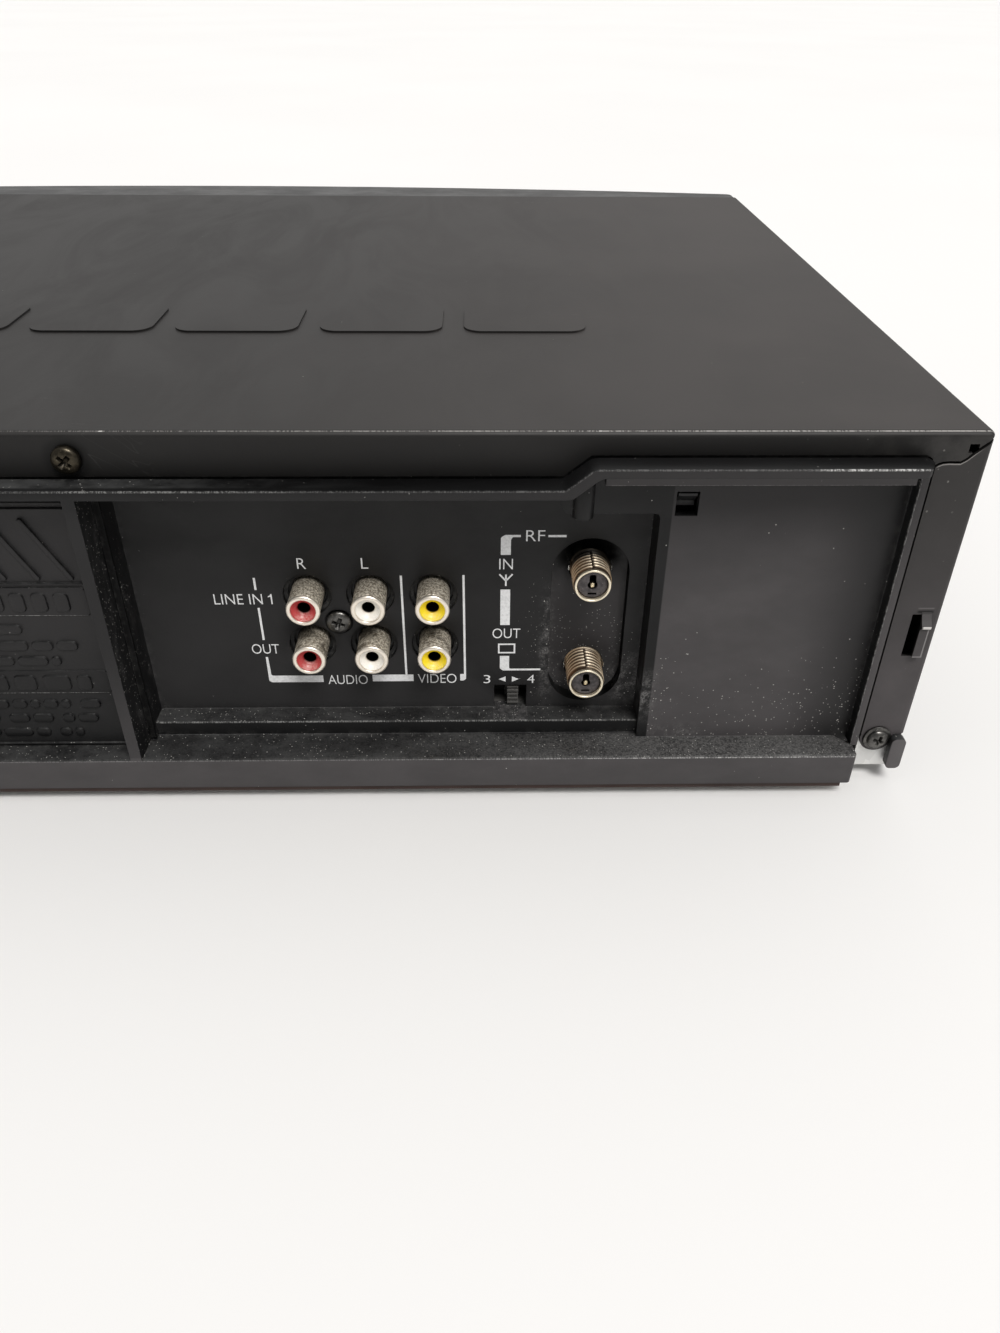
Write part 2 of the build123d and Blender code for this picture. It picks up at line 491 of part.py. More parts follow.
with BuildPart() as channel_switch_body:
    block(-118.7, -104.0, 118.0, 126.9, 12.0, 26.6)
    block(-116.9, -107.1, 121.0, 128.0, 17.6, 25.3, Mode.SUBTRACT)
channel_switch_body.part.label = "channel_switch_body"
export_step(channel_switch_body.part, "parts/channel_switch_body.step")

with BuildPart() as channel_switch_slider:
    block(SWITCH_X - 2.0, SWITCH_X + 2.0, 121.2, 124.2, 18.0, 25.0)
    block(SWITCH_X - 1.45, SWITCH_X + 1.45, 124.0, 129.0, 18.6, 24.4)
    for i in range(4):
        block(SWITCH_X - 2.0, SWITCH_X + 2.0, 128.5, 129.5, 19.4 + i * 1.3, 19.9 + i * 1.3, Mode.SUBTRACT)
channel_switch_slider.part.label = "channel_switch_slider"
export_step(channel_switch_slider.part, "parts/channel_switch_slider.step")

with BuildPart() as ac_inlet:
    block(148.7, 171.3, 116.0, 138.3, 24.7, 41.3)
    block(146.5, 173.5, 137.5, 138.9, 22.5, 43.5)
    with BuildSketch(Plane.XZ.offset(-139.0)):
        with Locations((160.0, 33.0)):
            SlotOverall(16.0, 8.6)
    extrude(amount=17.0, mode=Mode.SUBTRACT)
    for x in (156.2, 163.8):
        rod_y(x, 33.0, 121.0, 135.0, 1.2)
ac_inlet.part.label = "ac_inlet"
export_step(ac_inlet.part, "parts/ac_inlet.step")

# =========================== boards and supply ==========================
BOARD_LOW, BOARD_TOP = 10.0, 11.6
with BuildPart() as main_pcb:
    plate_xy([(-206.0, -112.0), (-110.0, -112.0), (-110.0, 84.0), (-8.0, 84.0), (-8.0, 124.0), (-206.0, 124.0)], BOARD_LOW, BOARD_TOP)
    # chips, coils and small capacitors soldered on it
    for x0, y0, w, d, h in ((-190, 20, 26, 26, 3.0), (-150, 40, 30, 12, 3.2), (-190, -60, 34, 14, 3.2), (-140, -70, 20, 20, 2.6),
                            (-186, 70, 12, 34, 3.4), (-48, 92, 22, 10, 3.0), (-160, -10, 14, 14, 12.0), (-130, 10, 10, 16, 9.0)):
        block(x0, x0 + w, y0, y0 + d, BOARD_TOP, BOARD_TOP + h)
    for x, y, r, h in ((-196, 0, 4, 11), (-196, -20, 4, 11), (-122, -40, 5, 12), (-122, 70, 3.2, 8), (-36, 112, 3.2, 8), (-24, 96, 3.2, 8),
                       (-170, 90, 4, 11), (-160, 100, 3.2, 8), (-200, -90, 4, 10), (-176, -90, 4, 10)):
        rod_z(x, y, BOARD_TOP, BOARD_TOP + h, r)
main_pcb.part.label = "main_pcb"
export_step(main_pcb.part, "parts/main_pcb.step")

with BuildPart() as power_supply_pcb:
    plate_xy([(110.0, -8.0), (206.0, -8.0), (206.0, 124.0), (110.0, 124.0)], BOARD_LOW, BOARD_TOP)
power_supply_pcb.part.label = "power_supply_pcb"
export_step(power_supply_pcb.part, "parts/power_supply_pcb.step")

with BuildPart() as transformer:
    block(128.0, 166.0, 40.0, 74.0, BOARD_TOP + 3, BOARD_TOP + 33)
    block(134.0, 160.0, 34.0, 80.0, BOARD_TOP + 6, BOARD_TOP + 30)
    block(131.0, 163.0, 36.0, 78.0, BOARD_TOP, BOARD_TOP + 4)
transformer.part.label = "transformer"
export_step(transformer.part, "parts/transformer.step")

with BuildPart() as filter_capacitors:
    rod_z(184.0, 92.0, BOARD_TOP, BOARD_TOP + 36, 11.0)
    for x, y, r, h in ((120, 20, 6, 22), (120, 36, 6, 22), (136, 14, 5, 16), (152, 12, 5, 16), (168, 14, 4, 12)):
        rod_z(x, y, BOARD_TOP, BOARD_TOP + h, r)
filter_capacitors.part.label = "filter_capacitors"
export_step(filter_capacitors.part, "parts/filter_capacitors.step")

with BuildPart() as heat_sink:
    block(180.0, 202.0, 30.0, 33.0, BOARD_TOP, BOARD_TOP + 44)
    for i in range(6):
        block(180.0 + i * 4.1, 181.5 + i * 4.1, 32.5, 48.0, BOARD_TOP + 4, BOARD_TOP + 44)
heat_sink.part.label = "heat_sink"
export_step(heat_sink.part, "parts/heat_sink.step")

# =========================== front =====================================
BUTTONS = {
    "power_button": (-196.0, -172.0, 66.0, 76.0),
    "eject_button": (116.0, 140.0, 66.0, 76.0),
    "channel_up_button": (172.0, 190.0, 72.0, 80.0),
    "channel_down_button": (172.0, 190.0, 61.0, 69.0),
    "rewind_button": (92.0, 112.0, 22.0, 40.0),
    "play_button": (114.0, 146.0, 32.0, 44.0),
    "stop_button": (114.0, 146.0, 18.0, 30.0),
    "fast_forward_button": (148.0, 168.0, 22.0, 40.0),
    "record_button": (176.0, 192.0, 25.0, 37.0),
}
WINDOW = (-74.0, 74.0, 17.0, 47.0)
FRONT_JACKS = ((-180.0, 27.0), (-164.0, 27.0), (-148.0, 27.0))

with BuildPart() as front_bezel:
    bow_slab(-HALF, HALF, 0.0, COVER_FRONT, 5.0, COVER_TOP)
    corners = front_bezel.edges().filter_by(Axis.Z).filter_by(lambda e: e.center().Y < COVER_FRONT - 2)
    fillet(corners, radius=4.0)
    rims = front_bezel.edges().filter_by(lambda e: e.center().Y < COVER_FRONT - 2 and (e.center().Z > COVER_TOP - 0.1 or e.center().Z < 5.1) and e.length > 300)
    chamfer(rims, length=1.6)
    bow_slab(-HALF + 3.0, HALF - 3.0, BEZEL_WALL, COVER_FRONT + 2, 8.0, COVER_TOP - BEZEL_WALL, Mode.SUBTRACT)
    # phono recess in the front
    block(-193.0, -135.0, -133.5, -128.5, 15.0, 39.0)
    block(-191.0, -137.0, -150.0, -131.0, 17.0, 37.0, Mode.SUBTRACT)
    for x, z in FRONT_JACKS:
        rod_y(x, z, -135.0, -126.0, 4.6, Mode.SUBTRACT)
    # cassette slot, with side cheeks that carry the flap's hinge pins
    for s in (-1, 1):
        block(s * 99.4, s * 102.4, bow_y(99.4, 2.0), -131.0, 56.0, 92.0)
    block(-SLOT_X, SLOT_X, -150.0, -138.0, SLOT_LOW, SLOT_TOP, Mode.SUBTRACT)
    for s in (-1, 1):
        rod_x(s * 98.0, s * 103.5, FLAP_AXIS_Y, FLAP_AXIS_Z, 1.05, Mode.SUBTRACT)
    # display window opening
    block(WINDOW[0], WINDOW[1], -150.0, -136.0, WINDOW[2], WINDOW[3], Mode.SUBTRACT)
    # button openings
    for x0, x1, z0, z1 in BUTTONS.values():
        block(x0, x1, -150.0, -128.0, z0, z1, Mode.SUBTRACT)
    # styling groove across the face
    bow_shell(-210.0, 210.0, -1.0, 0.7, 51.2, 52.2, Mode.SUBTRACT)
front_bezel.part.label = "front_bezel"
export_step(front_bezel.part, "parts/front_bezel.step")

with BuildPart() as display_window:
    bow_shell(WINDOW[0] + 0.1, WINDOW[1] - 0.1, 0.3, 3.6, WINDOW[2] + 0.1, WINDOW[3] - 0.1)
    bow_shell(WINDOW[0] - 2.0, WINDOW[1] + 2.0, 3.1, 4.3, WINDOW[2] - 2.0, WINDOW[3] + 2.0)
display_window.part.label = "display_window"
export_step(display_window.part, "parts/display_window.step")


def button(name):
    x0, x1, z0, z1 = BUTTONS[name]
    xc, zc = (x0 + x1) / 2, (z0 + z1) / 2
    bow_shell(x0 + 0.3, x1 - 0.3, -0.9, 4.3, z0 + 0.3, z1 - 0.3)
    bow_shell(x0 - 1.0, x1 + 1.0, 3.3, 4.5, z0 - 0.9, z1 + 0.9)
    block(xc - 2.0, xc + 2.0, bow_y(xc, 4.0), PCB_FRONT_Y - 6.8, zc - 2.0, zc + 2.0)


with BuildPart() as power_button:
    button("power_button")
power_button.part.label = "power_button"
export_step(power_button.part, "parts/power_button.step")

with BuildPart() as eject_button:
    button("eject_button")
eject_button.part.label = "eject_button"
export_step(eject_button.part, "parts/eject_button.step")

with BuildPart() as channel_up_button:
    button("channel_up_button")
channel_up_button.part.label = "channel_up_button"
export_step(channel_up_button.part, "parts/channel_up_button.step")

with BuildPart() as channel_down_button:
    button("channel_down_button")
channel_down_button.part.label = "channel_down_button"
export_step(channel_down_button.part, "parts/channel_down_button.step")

with BuildPart() as rewind_button:
    button("rewind_button")
rewind_button.part.label = "rewind_button"
export_step(rewind_button.part, "parts/rewind_button.step")

with BuildPart() as play_button:
    button("play_button")
play_button.part.label = "play_button"
export_step(play_button.part, "parts/play_button.step")

with BuildPart() as stop_button:
    button("stop_button")
stop_button.part.label = "stop_button"
export_step(stop_button.part, "parts/stop_button.step")

with BuildPart() as fast_forward_button:
    button("fast_forward_button")
fast_forward_button.part.label = "fast_forward_button"
export_step(fast_forward_button.part, "parts/fast_forward_button.step")

with BuildPart() as record_button:
    button("record_button")
record_button.part.label = "record_button"
export_step(record_button.part, "parts/record_button.step")

# Spring flap that closes the cassette slot; its pins turn in the cheeks.
with BuildPart() as cassette_flap:
    bow_shell(-98.6, 98.6, 1.4, 3.6, SLOT_LOW + 0.4, FLAP_AXIS_Z + 0.6)
    bow_shell(-60.0, 60.0, 0.9, 1.6, SLOT_LOW + 8.0, SLOT_LOW + 8.8)
    rod_x(-98.7, 98.7, FLAP_AXIS_Y, FLAP_AXIS_Z - 0.6, 0.9)
    for s in (-1, 1):
        rod_x(s * 97.0, s * 102.8, FLAP_AXIS_Y, FLAP_AXIS_Z, 1.0)
cassette_flap.part.label = "cassette_flap"
export_step(cassette_flap.part, "parts/cassette_flap.step")

with BuildPart() as front_jack_block:
    block(-190.0, -138.0, -127.5, PCB_FRONT_Y, 17.0, 37.0)
    for x, z in FRONT_JACKS:
        rod_y(x, z, -128.5, -120.0, JACK_SHELL_R + 0.02, Mode.SUBTRACT)
    for x, z in FRONT_JACKS:
        jack_insert(x, z, -136.6, -119.5, -1)
front_jack_block.part.label = "front_jack_block"
export_step(front_jack_block.part, "parts/front_jack_block.step")

with BuildPart() as front_jack_shells:
    for x, z in FRONT_JACKS:
        jack_shell(x, z, -136.6, -121.0, -1)
front_jack_shells.part.label = "front_jack_shells"
export_step(front_jack_shells.part, "parts/front_jack_shells.step")

with BuildPart() as front_pcb:
    plate_xz([(-204.0, 9.0), (204.0, 9.0), (204.0, 88.0), (106.0, 88.0), (106.0, 50.0),
              (-106.0, 50.0), (-106.0, 88.0), (-204.0, 88.0)], PCB_FRONT_Y, PCB_FRONT_Y + 1.6)
    # a push switch soldered behind every button
    for x0, x1, z0, z1 in BUTTONS.values():
        xc, zc = (x0 + x1) / 2, (z0 + z1) / 2
        block(xc - 3.0, xc + 3.0, PCB_FRONT_Y - 3.6, PCB_FRONT_Y + 0.1, zc - 3.0, zc + 3.0)
        rod_y(xc, zc, PCB_FRONT_Y - 5.2, PCB_FRONT_Y - 3.5, 1.75)
front_pcb.part.label = "front_pcb"
export_step(front_pcb.part, "parts/front_pcb.step")

with BuildPart() as display_tube:
    block(-62.0, 62.0, -131.0, PCB_FRONT_Y - 4.0, 20.0, 44.0)
    block(-56.0, 56.0, PCB_FRONT_Y - 4.5, PCB_FRONT_Y, 23.0, 41.0)
display_tube.part.label = "display_tube"
export_step(display_tube.part, "parts/display_tube.step")

with BuildPart() as ribbon_cable:
    block(-164.0, -144.0, PCB_FRONT_Y + 1.6, -88.0, 19.4, 20.0)
    block(-164.0, -144.0, -88.6, -88.0, BOARD_TOP, 20.0)
ribbon_cable.part.label = "ribbon_cable"
export_step(ribbon_cable.part, "parts/ribbon_cable.step")

# =========================== tape deck ==================================
DRUM_TILT = Plane(origin=(DRUM_X, DRUM_Y, DRUM_Z), x_dir=(1, 0, 0), z_dir=(0.06, -0.085, 1.0))


def drum_disc(z0, z1, r, mode=Mode.ADD):
    with BuildSketch(DRUM_TILT.offset(z0)) as disc:
        Circle(r)
    extrude(disc.sketch, amount=z1 - z0, mode=mode)


with BuildPart() as deck_chassis:
    block(-103.2, 103.2, -112.0, 82.0, DECK_LOW, DECK_TOP)
    for s in (-1, 1):
        block(s * 102.0, s * 103.2, -104.0, 24.0, DECK_LOW, 94.0)
        # lowering guide slots in the side brackets
        block(s * 101.0, s * 104.0, -96.0, -90.0, 50.0, 84.0, Mode.SUBTRACT)
        block(s * 101.0, s * 104.0, 4.0, 10.0, 50.0, 84.0, Mode.SUBTRACT)
        # tape guide tracks
        with BuildSketch(Plane.XY.offset(DECK_LOW - 1)):
            mid = ((GUIDE_START[0] + GUIDE_END[0]) / 2 * s, (GUIDE_START[1] + GUIDE_END[1]) / 2)
            run = math.dist(GUIDE_START, GUIDE_END)
            ang = math.degrees(math.atan2(GUIDE_END[1] - GUIDE_START[1], (GUIDE_END[0] - GUIDE_START[0]) * s))
            with Locations(Location((mid[0], mid[1], 0), (0, 0, ang))):
                SlotOverall(run + 6.0, 4.4)
        extrude(amount=4, mode=Mode.SUBTRACT)
        rod_z(s * REEL_X, REEL_Y, DECK_LOW - 3.0, DECK_TOP, 5.0)
        rod_z(s * REEL_X, REEL_Y, DECK_LOW - 5.0, DECK_TOP + 2, 2.55, Mode.SUBTRACT)
    rod_z(CAPSTAN_X, CAPSTAN_Y, DECK_TOP - 0.5, DECK_TOP + 4.0, 4.0)
    rod_z(CAPSTAN_X, CAPSTAN_Y, DECK_LOW - 2, DECK_TOP + 6, 1.55, Mode.SUBTRACT)
    rod_z(PINCH_PIVOT[0], PINCH_PIVOT[1], DECK_TOP - 0.5, 45.0, 2.0)
    rod_z(CAM_X, CAM_Y, DECK_TOP - 0.5, 34.0, 2.5)
    for px, py in DECK_POSTS:
        rod_z(px, py, DECK_LOW - 1, DECK_TOP + 1, 1.7, Mode.SUBTRACT)
deck_chassis.part.label = "deck_chassis"
export_step(deck_chassis.part, "parts/deck_chassis.step")

with BuildPart() as lower_drum:
    drum_disc(-10.5, 0.0, DRUM_R)
    rod_z(DRUM_X, DRUM_Y, DECK_TOP, 34.0, 20.0)
    drum_disc(-20.0, 1.0, 3.05, Mode.SUBTRACT)
lower_drum.part.label = "lower_drum"
export_step(lower_drum.part, "parts/lower_drum.step")

with BuildPart() as head_drum:
    drum_disc(0.4, 14.5, DRUM_R)
    drum_disc(11.0, 15.0, 22.0, Mode.SUBTRACT)
    drum_disc(10.5, 14.0, 8.0)
    drum_disc(-9.0, 1.0, 3.0)
head_drum.part.label = "head_drum"
export_step(head_drum.part, "parts/head_drum.step")

with BuildPart() as capstan_motor:
    block(34.0, 80.0, -14.0, 38.0, 9.0, 10.4)
    rod_z(CAPSTAN_X, CAPSTAN_Y, 10.0, 13.5, 14.0)
    block(34.0, 44.0, -14.0, -6.0, BASE_TOP, 9.5)
    block(70.0, 80.0, 30.0, 38.0, BASE_TOP, 9.5)
capstan_motor.part.label = "capstan_motor"
export_step(capstan_motor.part, "parts/capstan_motor.step")

with BuildPart() as capstan_flywheel:
    rod_z(CAPSTAN_X, CAPSTAN_Y, 14.2, 20.0, 23.0)
    rod_z(CAPSTAN_X, CAPSTAN_Y, 18.0, 52.0, 1.5)
capstan_flywheel.part.label = "capstan_flywheel"
export_step(capstan_flywheel.part, "parts/capstan_flywheel.step")

PINCH_X = PINCH_PIVOT[0] + PINCH_ARM * math.cos(math.radians(PINCH_REST))
PINCH_Y = PINCH_PIVOT[1] + PINCH_ARM * math.sin(math.radians(PINCH_REST))
with BuildPart() as pinch_roller_arm:
    for z0, z1 in ((27.0, 29.0), (47.0, 48.6)):
        rod_z(PINCH_PIVOT[0], PINCH_PIVOT[1], z0, z1, 4.5)
        rod_z(PINCH_X, PINCH_Y, z0, z1, 3.5)
        with BuildSketch(Plane.XY.offset(z0)):
            with Locations(Location(((PINCH_PIVOT[0] + PINCH_X) / 2, (PINCH_PIVOT[1] + PINCH_Y) / 2, 0), (0, 0, PINCH_REST))):
                Rectangle(PINCH_ARM, 5.0)
        extrude(amount=z1 - z0)
    with Locations(Location((PINCH_PIVOT[0] + 0.5 * PINCH_ARM * math.cos(math.radians(PINCH_REST)),
                             PINCH_PIVOT[1] + 0.5 * PINCH_ARM * math.sin(math.radians(PINCH_REST)), 37.8), (0, 0, PINCH_REST))):
        Box(5.0, 4.0, 21.0)
    rod_z(PINCH_X, PINCH_Y, 28.5, 47.5, 1.2)
    rod_z(PINCH_PIVOT[0], PINCH_PIVOT[1], 20.0, 60.0, 2.06, Mode.SUBTRACT)
pinch_roller_arm.part.label = "pinch_roller_arm"
export_step(pinch_roller_arm.part, "parts/pinch_roller_arm.step")

with BuildPart() as pinch_roller:
    rod_z(PINCH_X, PINCH_Y, 30.0, 46.0, 7.0)
    rod_z(PINCH_X, PINCH_Y, 29.0, 47.0, 1.26, Mode.SUBTRACT)
pinch_roller.part.label = "pinch_roller"
export_step(pinch_roller.part, "parts/pinch_roller.step")


def reel_table(x):
    rod_z(x, REEL_Y, 26.0, 28.3, REEL_R)
    rod_z(x, REEL_Y, 28.0, 37.0, 5.0)
    rod_z(x, REEL_Y, 20.0, 26.5, 2.5)
    with Locations((x, REEL_Y, 32.4)):
        with PolarLocations(5.0, 3):
            Box(3.2, 1.6, 8.0)
    with Locations((x, REEL_Y, 28.0)):
        with PolarLocations(14.5, 6):
            Cylinder(3.2, 1.6, mode=Mode.SUBTRACT)


with BuildPart() as supply_reel_table:
    reel_table(-REEL_X)
supply_reel_table.part.label = "supply_reel_table"
export_step(supply_reel_table.part, "parts/supply_reel_table.step")

with BuildPart() as takeup_reel_table:
    reel_table(REEL_X)
takeup_reel_table.part.label = "takeup_reel_table"
export_step(takeup_reel_table.part, "parts/takeup_reel_table.step")


def tape_guide(s):
    x, y = GUIDE_START[0] * s, GUIDE_START[1]
    block(x - 5.5, x + 5.5, y - 4.0, y + 5.0, DECK_TOP + 0.15, DECK_TOP + 3.2)
    rod_z(x, y, 22.6, DECK_TOP + 1.0, 1.9)
    rod_z(x, y, DECK_TOP + 3.0, 50.0, 2.4)
    rod_z(x, y, DECK_TOP + 3.0, 31.6, 3.4)
    rod_z(x, y, 45.0, 47.0, 3.4)


with BuildPart() as tape_guide_supply:
    tape_guide(-1)
tape_guide_supply.part.label = "tape_guide_supply"
export_step(tape_guide_supply.part, "parts/tape_guide_supply.step")

with BuildPart() as tape_guide_takeup:
    tape_guide(1)
tape_guide_takeup.part.label = "tape_guide_takeup"
export_step(tape_guide_takeup.part, "parts/tape_guide_takeup.step")

with BuildPart() as stationary_heads:
    block(-66.0, -50.0, 20.0, 30.0, DECK_TOP, 27.5)
    block(-62.0, -54.0, 21.0, 29.0, 27.0, 49.0)
    block(49.0, 62.0, 28.0, 40.0, DECK_TOP, 27.5)
    block(50.5, 59.5, 29.5, 38.0, 27.0, 49.0)
stationary_heads.part.label = "stationary_heads"
export_step(stationary_heads.part, "parts/stationary_heads.step")


def spur(cx, cy, teeth, phase, z0, z1):
    """Straight-sided gear teeth on a disc, with generous backlash."""
    rp = teeth * GEAR_MODULE / 2
    root, tip = rp - 0.85 * 1.25 * GEAR_MODULE, rp + 0.85 * GEAR_MODULE
    pitch = 2 * math.pi / teeth
    pts = []
    for i in range(teeth):
        a = phase + i * pitch
        for r, f in ((root, -0.30), (tip, -0.13), (tip, 0.13), (root, 0.30)):
            pts.append((cx + r * math.cos(a + f * pitch), cy + r * math.sin(a + f * pitch)))
    plate_xy(pts, z0, z1)


PINION_GAP = (CAM_TEETH + PINION_TEETH) * GEAR_MODULE / 2 + 0.25
PINION_X, PINION_Y = CAM_X, CAM_Y + PINION_GAP
with BuildPart() as loading_cam_gear:
    spur(CAM_X, CAM_Y, CAM_TEETH, math.pi / 2, 26.4, 30.4)
    rod_z(CAM_X, CAM_Y, 30.0, 32.0, 8.0)
    with BuildSketch(Plane.XY.offset(29.4)):
        with Locations((CAM_X, CAM_Y)):
            with Locations((0.0, 10.5)):
                SlotOverall(9.0, 2.4)
    extrude(amount=2.0, mode=Mode.SUBTRACT)
    rod_z(CAM_X, CAM_Y, 20.0, 40.0, 2.56, Mode.SUBTRACT)
loading_cam_gear.part.label = "loading_cam_gear"
export_step(loading_cam_gear.part, "parts/loading_cam_gear.step")

with BuildPart() as loading_motor:
    block(PINION_X - 15.0, PINION_X + 10.0, PINION_Y - 8.0, PINION_Y + 10.0, 34.0, 36.0)
    block(PINION_X - 15.0, PINION_X + 10.0, PINION_Y + 8.0, PINION_Y + 10.0, DECK_TOP, 35.0)
    rod_z(PINION_X, PINION_Y, 35.0, 60.0, 9.0)
    rod_z(PINION_X, PINION_Y, 33.0, 37.0, 1.06, Mode.SUBTRACT)
loading_motor.part.label = "loading_motor"
export_step(loading_motor.part, "parts/loading_motor.step")

with BuildPart() as loading_pinion:
    spur(PINION_X, PINION_Y, PINION_TEETH, -math.pi / 2 + math.pi / PINION_TEETH, 26.4, 30.9)
    rod_z(PINION_X, PINION_Y, 30.5, 36.8, 1.0)
loading_pinion.part.label = "loading_pinion"
export_step(loading_pinion.part, "parts/loading_pinion.step")

# Cassette lift: a slider that runs back, and a cradle that drops in it.
with BuildPart() as carriage_slider:
    for s in (-1, 1):
        block(s * 99.9, s * 101.1, -103.0, -62.0, 60.0, 93.0)
    block(-101.1, 101.1, -103.0, -88.0, 92.0, 93.2)
carriage_slider.part.label = "carriage_slider"
export_step(carriage_slider.part, "parts/carriage_slider.step")

with BuildPart() as cassette_cradle:
    for s in (-1, 1):
        block(s * 96.4, s * 97.6, -104.0, -42.0, 56.2, 85.2)
        block(s * 90.0, s * 97.6, -104.0, -42.0, 55.0, 56.2)
        rod_x(s * 97.0, s * 99.6, -82.0, 70.0, 2.0)
    block(-97.6, 97.6, -104.0, -42.0, 84.0, 85.2)
    block(-40.0, 40.0, -90.0, -56.0, 83.0, 86.0, Mode.SUBTRACT)
cassette_cradle.part.label = "cassette_cradle"
export_step(cassette_cradle.part, "parts/cassette_cradle.step")
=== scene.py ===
import bpy
import bmesh
import json
import math
import random
from mathutils import Matrix, Vector


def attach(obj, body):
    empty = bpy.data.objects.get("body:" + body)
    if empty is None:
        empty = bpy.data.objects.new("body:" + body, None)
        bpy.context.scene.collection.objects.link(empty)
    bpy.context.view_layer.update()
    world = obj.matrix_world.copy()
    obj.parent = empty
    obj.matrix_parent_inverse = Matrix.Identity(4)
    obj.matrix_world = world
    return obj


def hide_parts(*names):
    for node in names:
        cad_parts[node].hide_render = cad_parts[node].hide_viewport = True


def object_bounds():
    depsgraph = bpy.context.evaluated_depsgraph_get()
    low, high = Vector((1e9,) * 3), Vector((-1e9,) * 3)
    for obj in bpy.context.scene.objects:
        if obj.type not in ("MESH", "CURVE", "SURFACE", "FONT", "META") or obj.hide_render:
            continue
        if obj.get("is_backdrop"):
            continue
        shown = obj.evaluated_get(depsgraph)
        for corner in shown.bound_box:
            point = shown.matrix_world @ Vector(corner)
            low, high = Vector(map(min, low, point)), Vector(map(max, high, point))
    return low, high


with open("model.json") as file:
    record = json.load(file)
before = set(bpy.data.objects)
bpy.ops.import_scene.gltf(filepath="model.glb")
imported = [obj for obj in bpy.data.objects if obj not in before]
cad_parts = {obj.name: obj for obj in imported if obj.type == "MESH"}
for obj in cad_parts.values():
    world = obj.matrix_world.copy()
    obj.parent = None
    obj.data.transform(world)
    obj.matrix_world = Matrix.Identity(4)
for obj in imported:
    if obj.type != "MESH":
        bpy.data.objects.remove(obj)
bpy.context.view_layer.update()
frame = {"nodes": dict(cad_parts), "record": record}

NODES = frame["nodes"]
SCENE = bpy.context.scene
MM = 0.001

# ------------------------------------------------------------------ camera
PITCH, YAW, ROLL = math.radians(35.234), math.radians(1.373), math.radians(0.5106)
EYE = Vector((-104.25, 338.5, 178.64)) * MM
FOCAL_PX = 993.76


def make_camera():
    sp, cp, sy, cy = math.sin(PITCH), math.cos(PITCH), math.sin(YAW), math.cos(YAW)
    fwd = Vector((-sy * cp, -cy * cp, -sp))
    right = Vector((-cy, sy, 0.0))
    up = Vector((-sy * sp, -cy * sp, cp))
    c, s = math.cos(ROLL), math.sin(ROLL)
    r2, u2 = c * right + s * up, -s * right + c * up
    data = bpy.data.cameras.new("camera")
    data.sensor_width = 36.0
    data.lens = FOCAL_PX / 1333.0 * 36.0
    data.clip_start, data.clip_end = 0.01, 200.0
    cam = bpy.data.objects.new("camera", data)
    SCENE.collection.objects.link(cam)
    cam.matrix_world = Matrix(((r2.x, u2.x, -fwd.x, EYE.x), (r2.y, u2.y, -fwd.y, EYE.y),
                               (r2.z, u2.z, -fwd.z, EYE.z), (0, 0, 0, 1)))
    SCENE.camera = cam


make_camera()
SCENE.view_settings.view_transform = "Standard"
SCENE.view_settings.look = "Medium High Contrast"


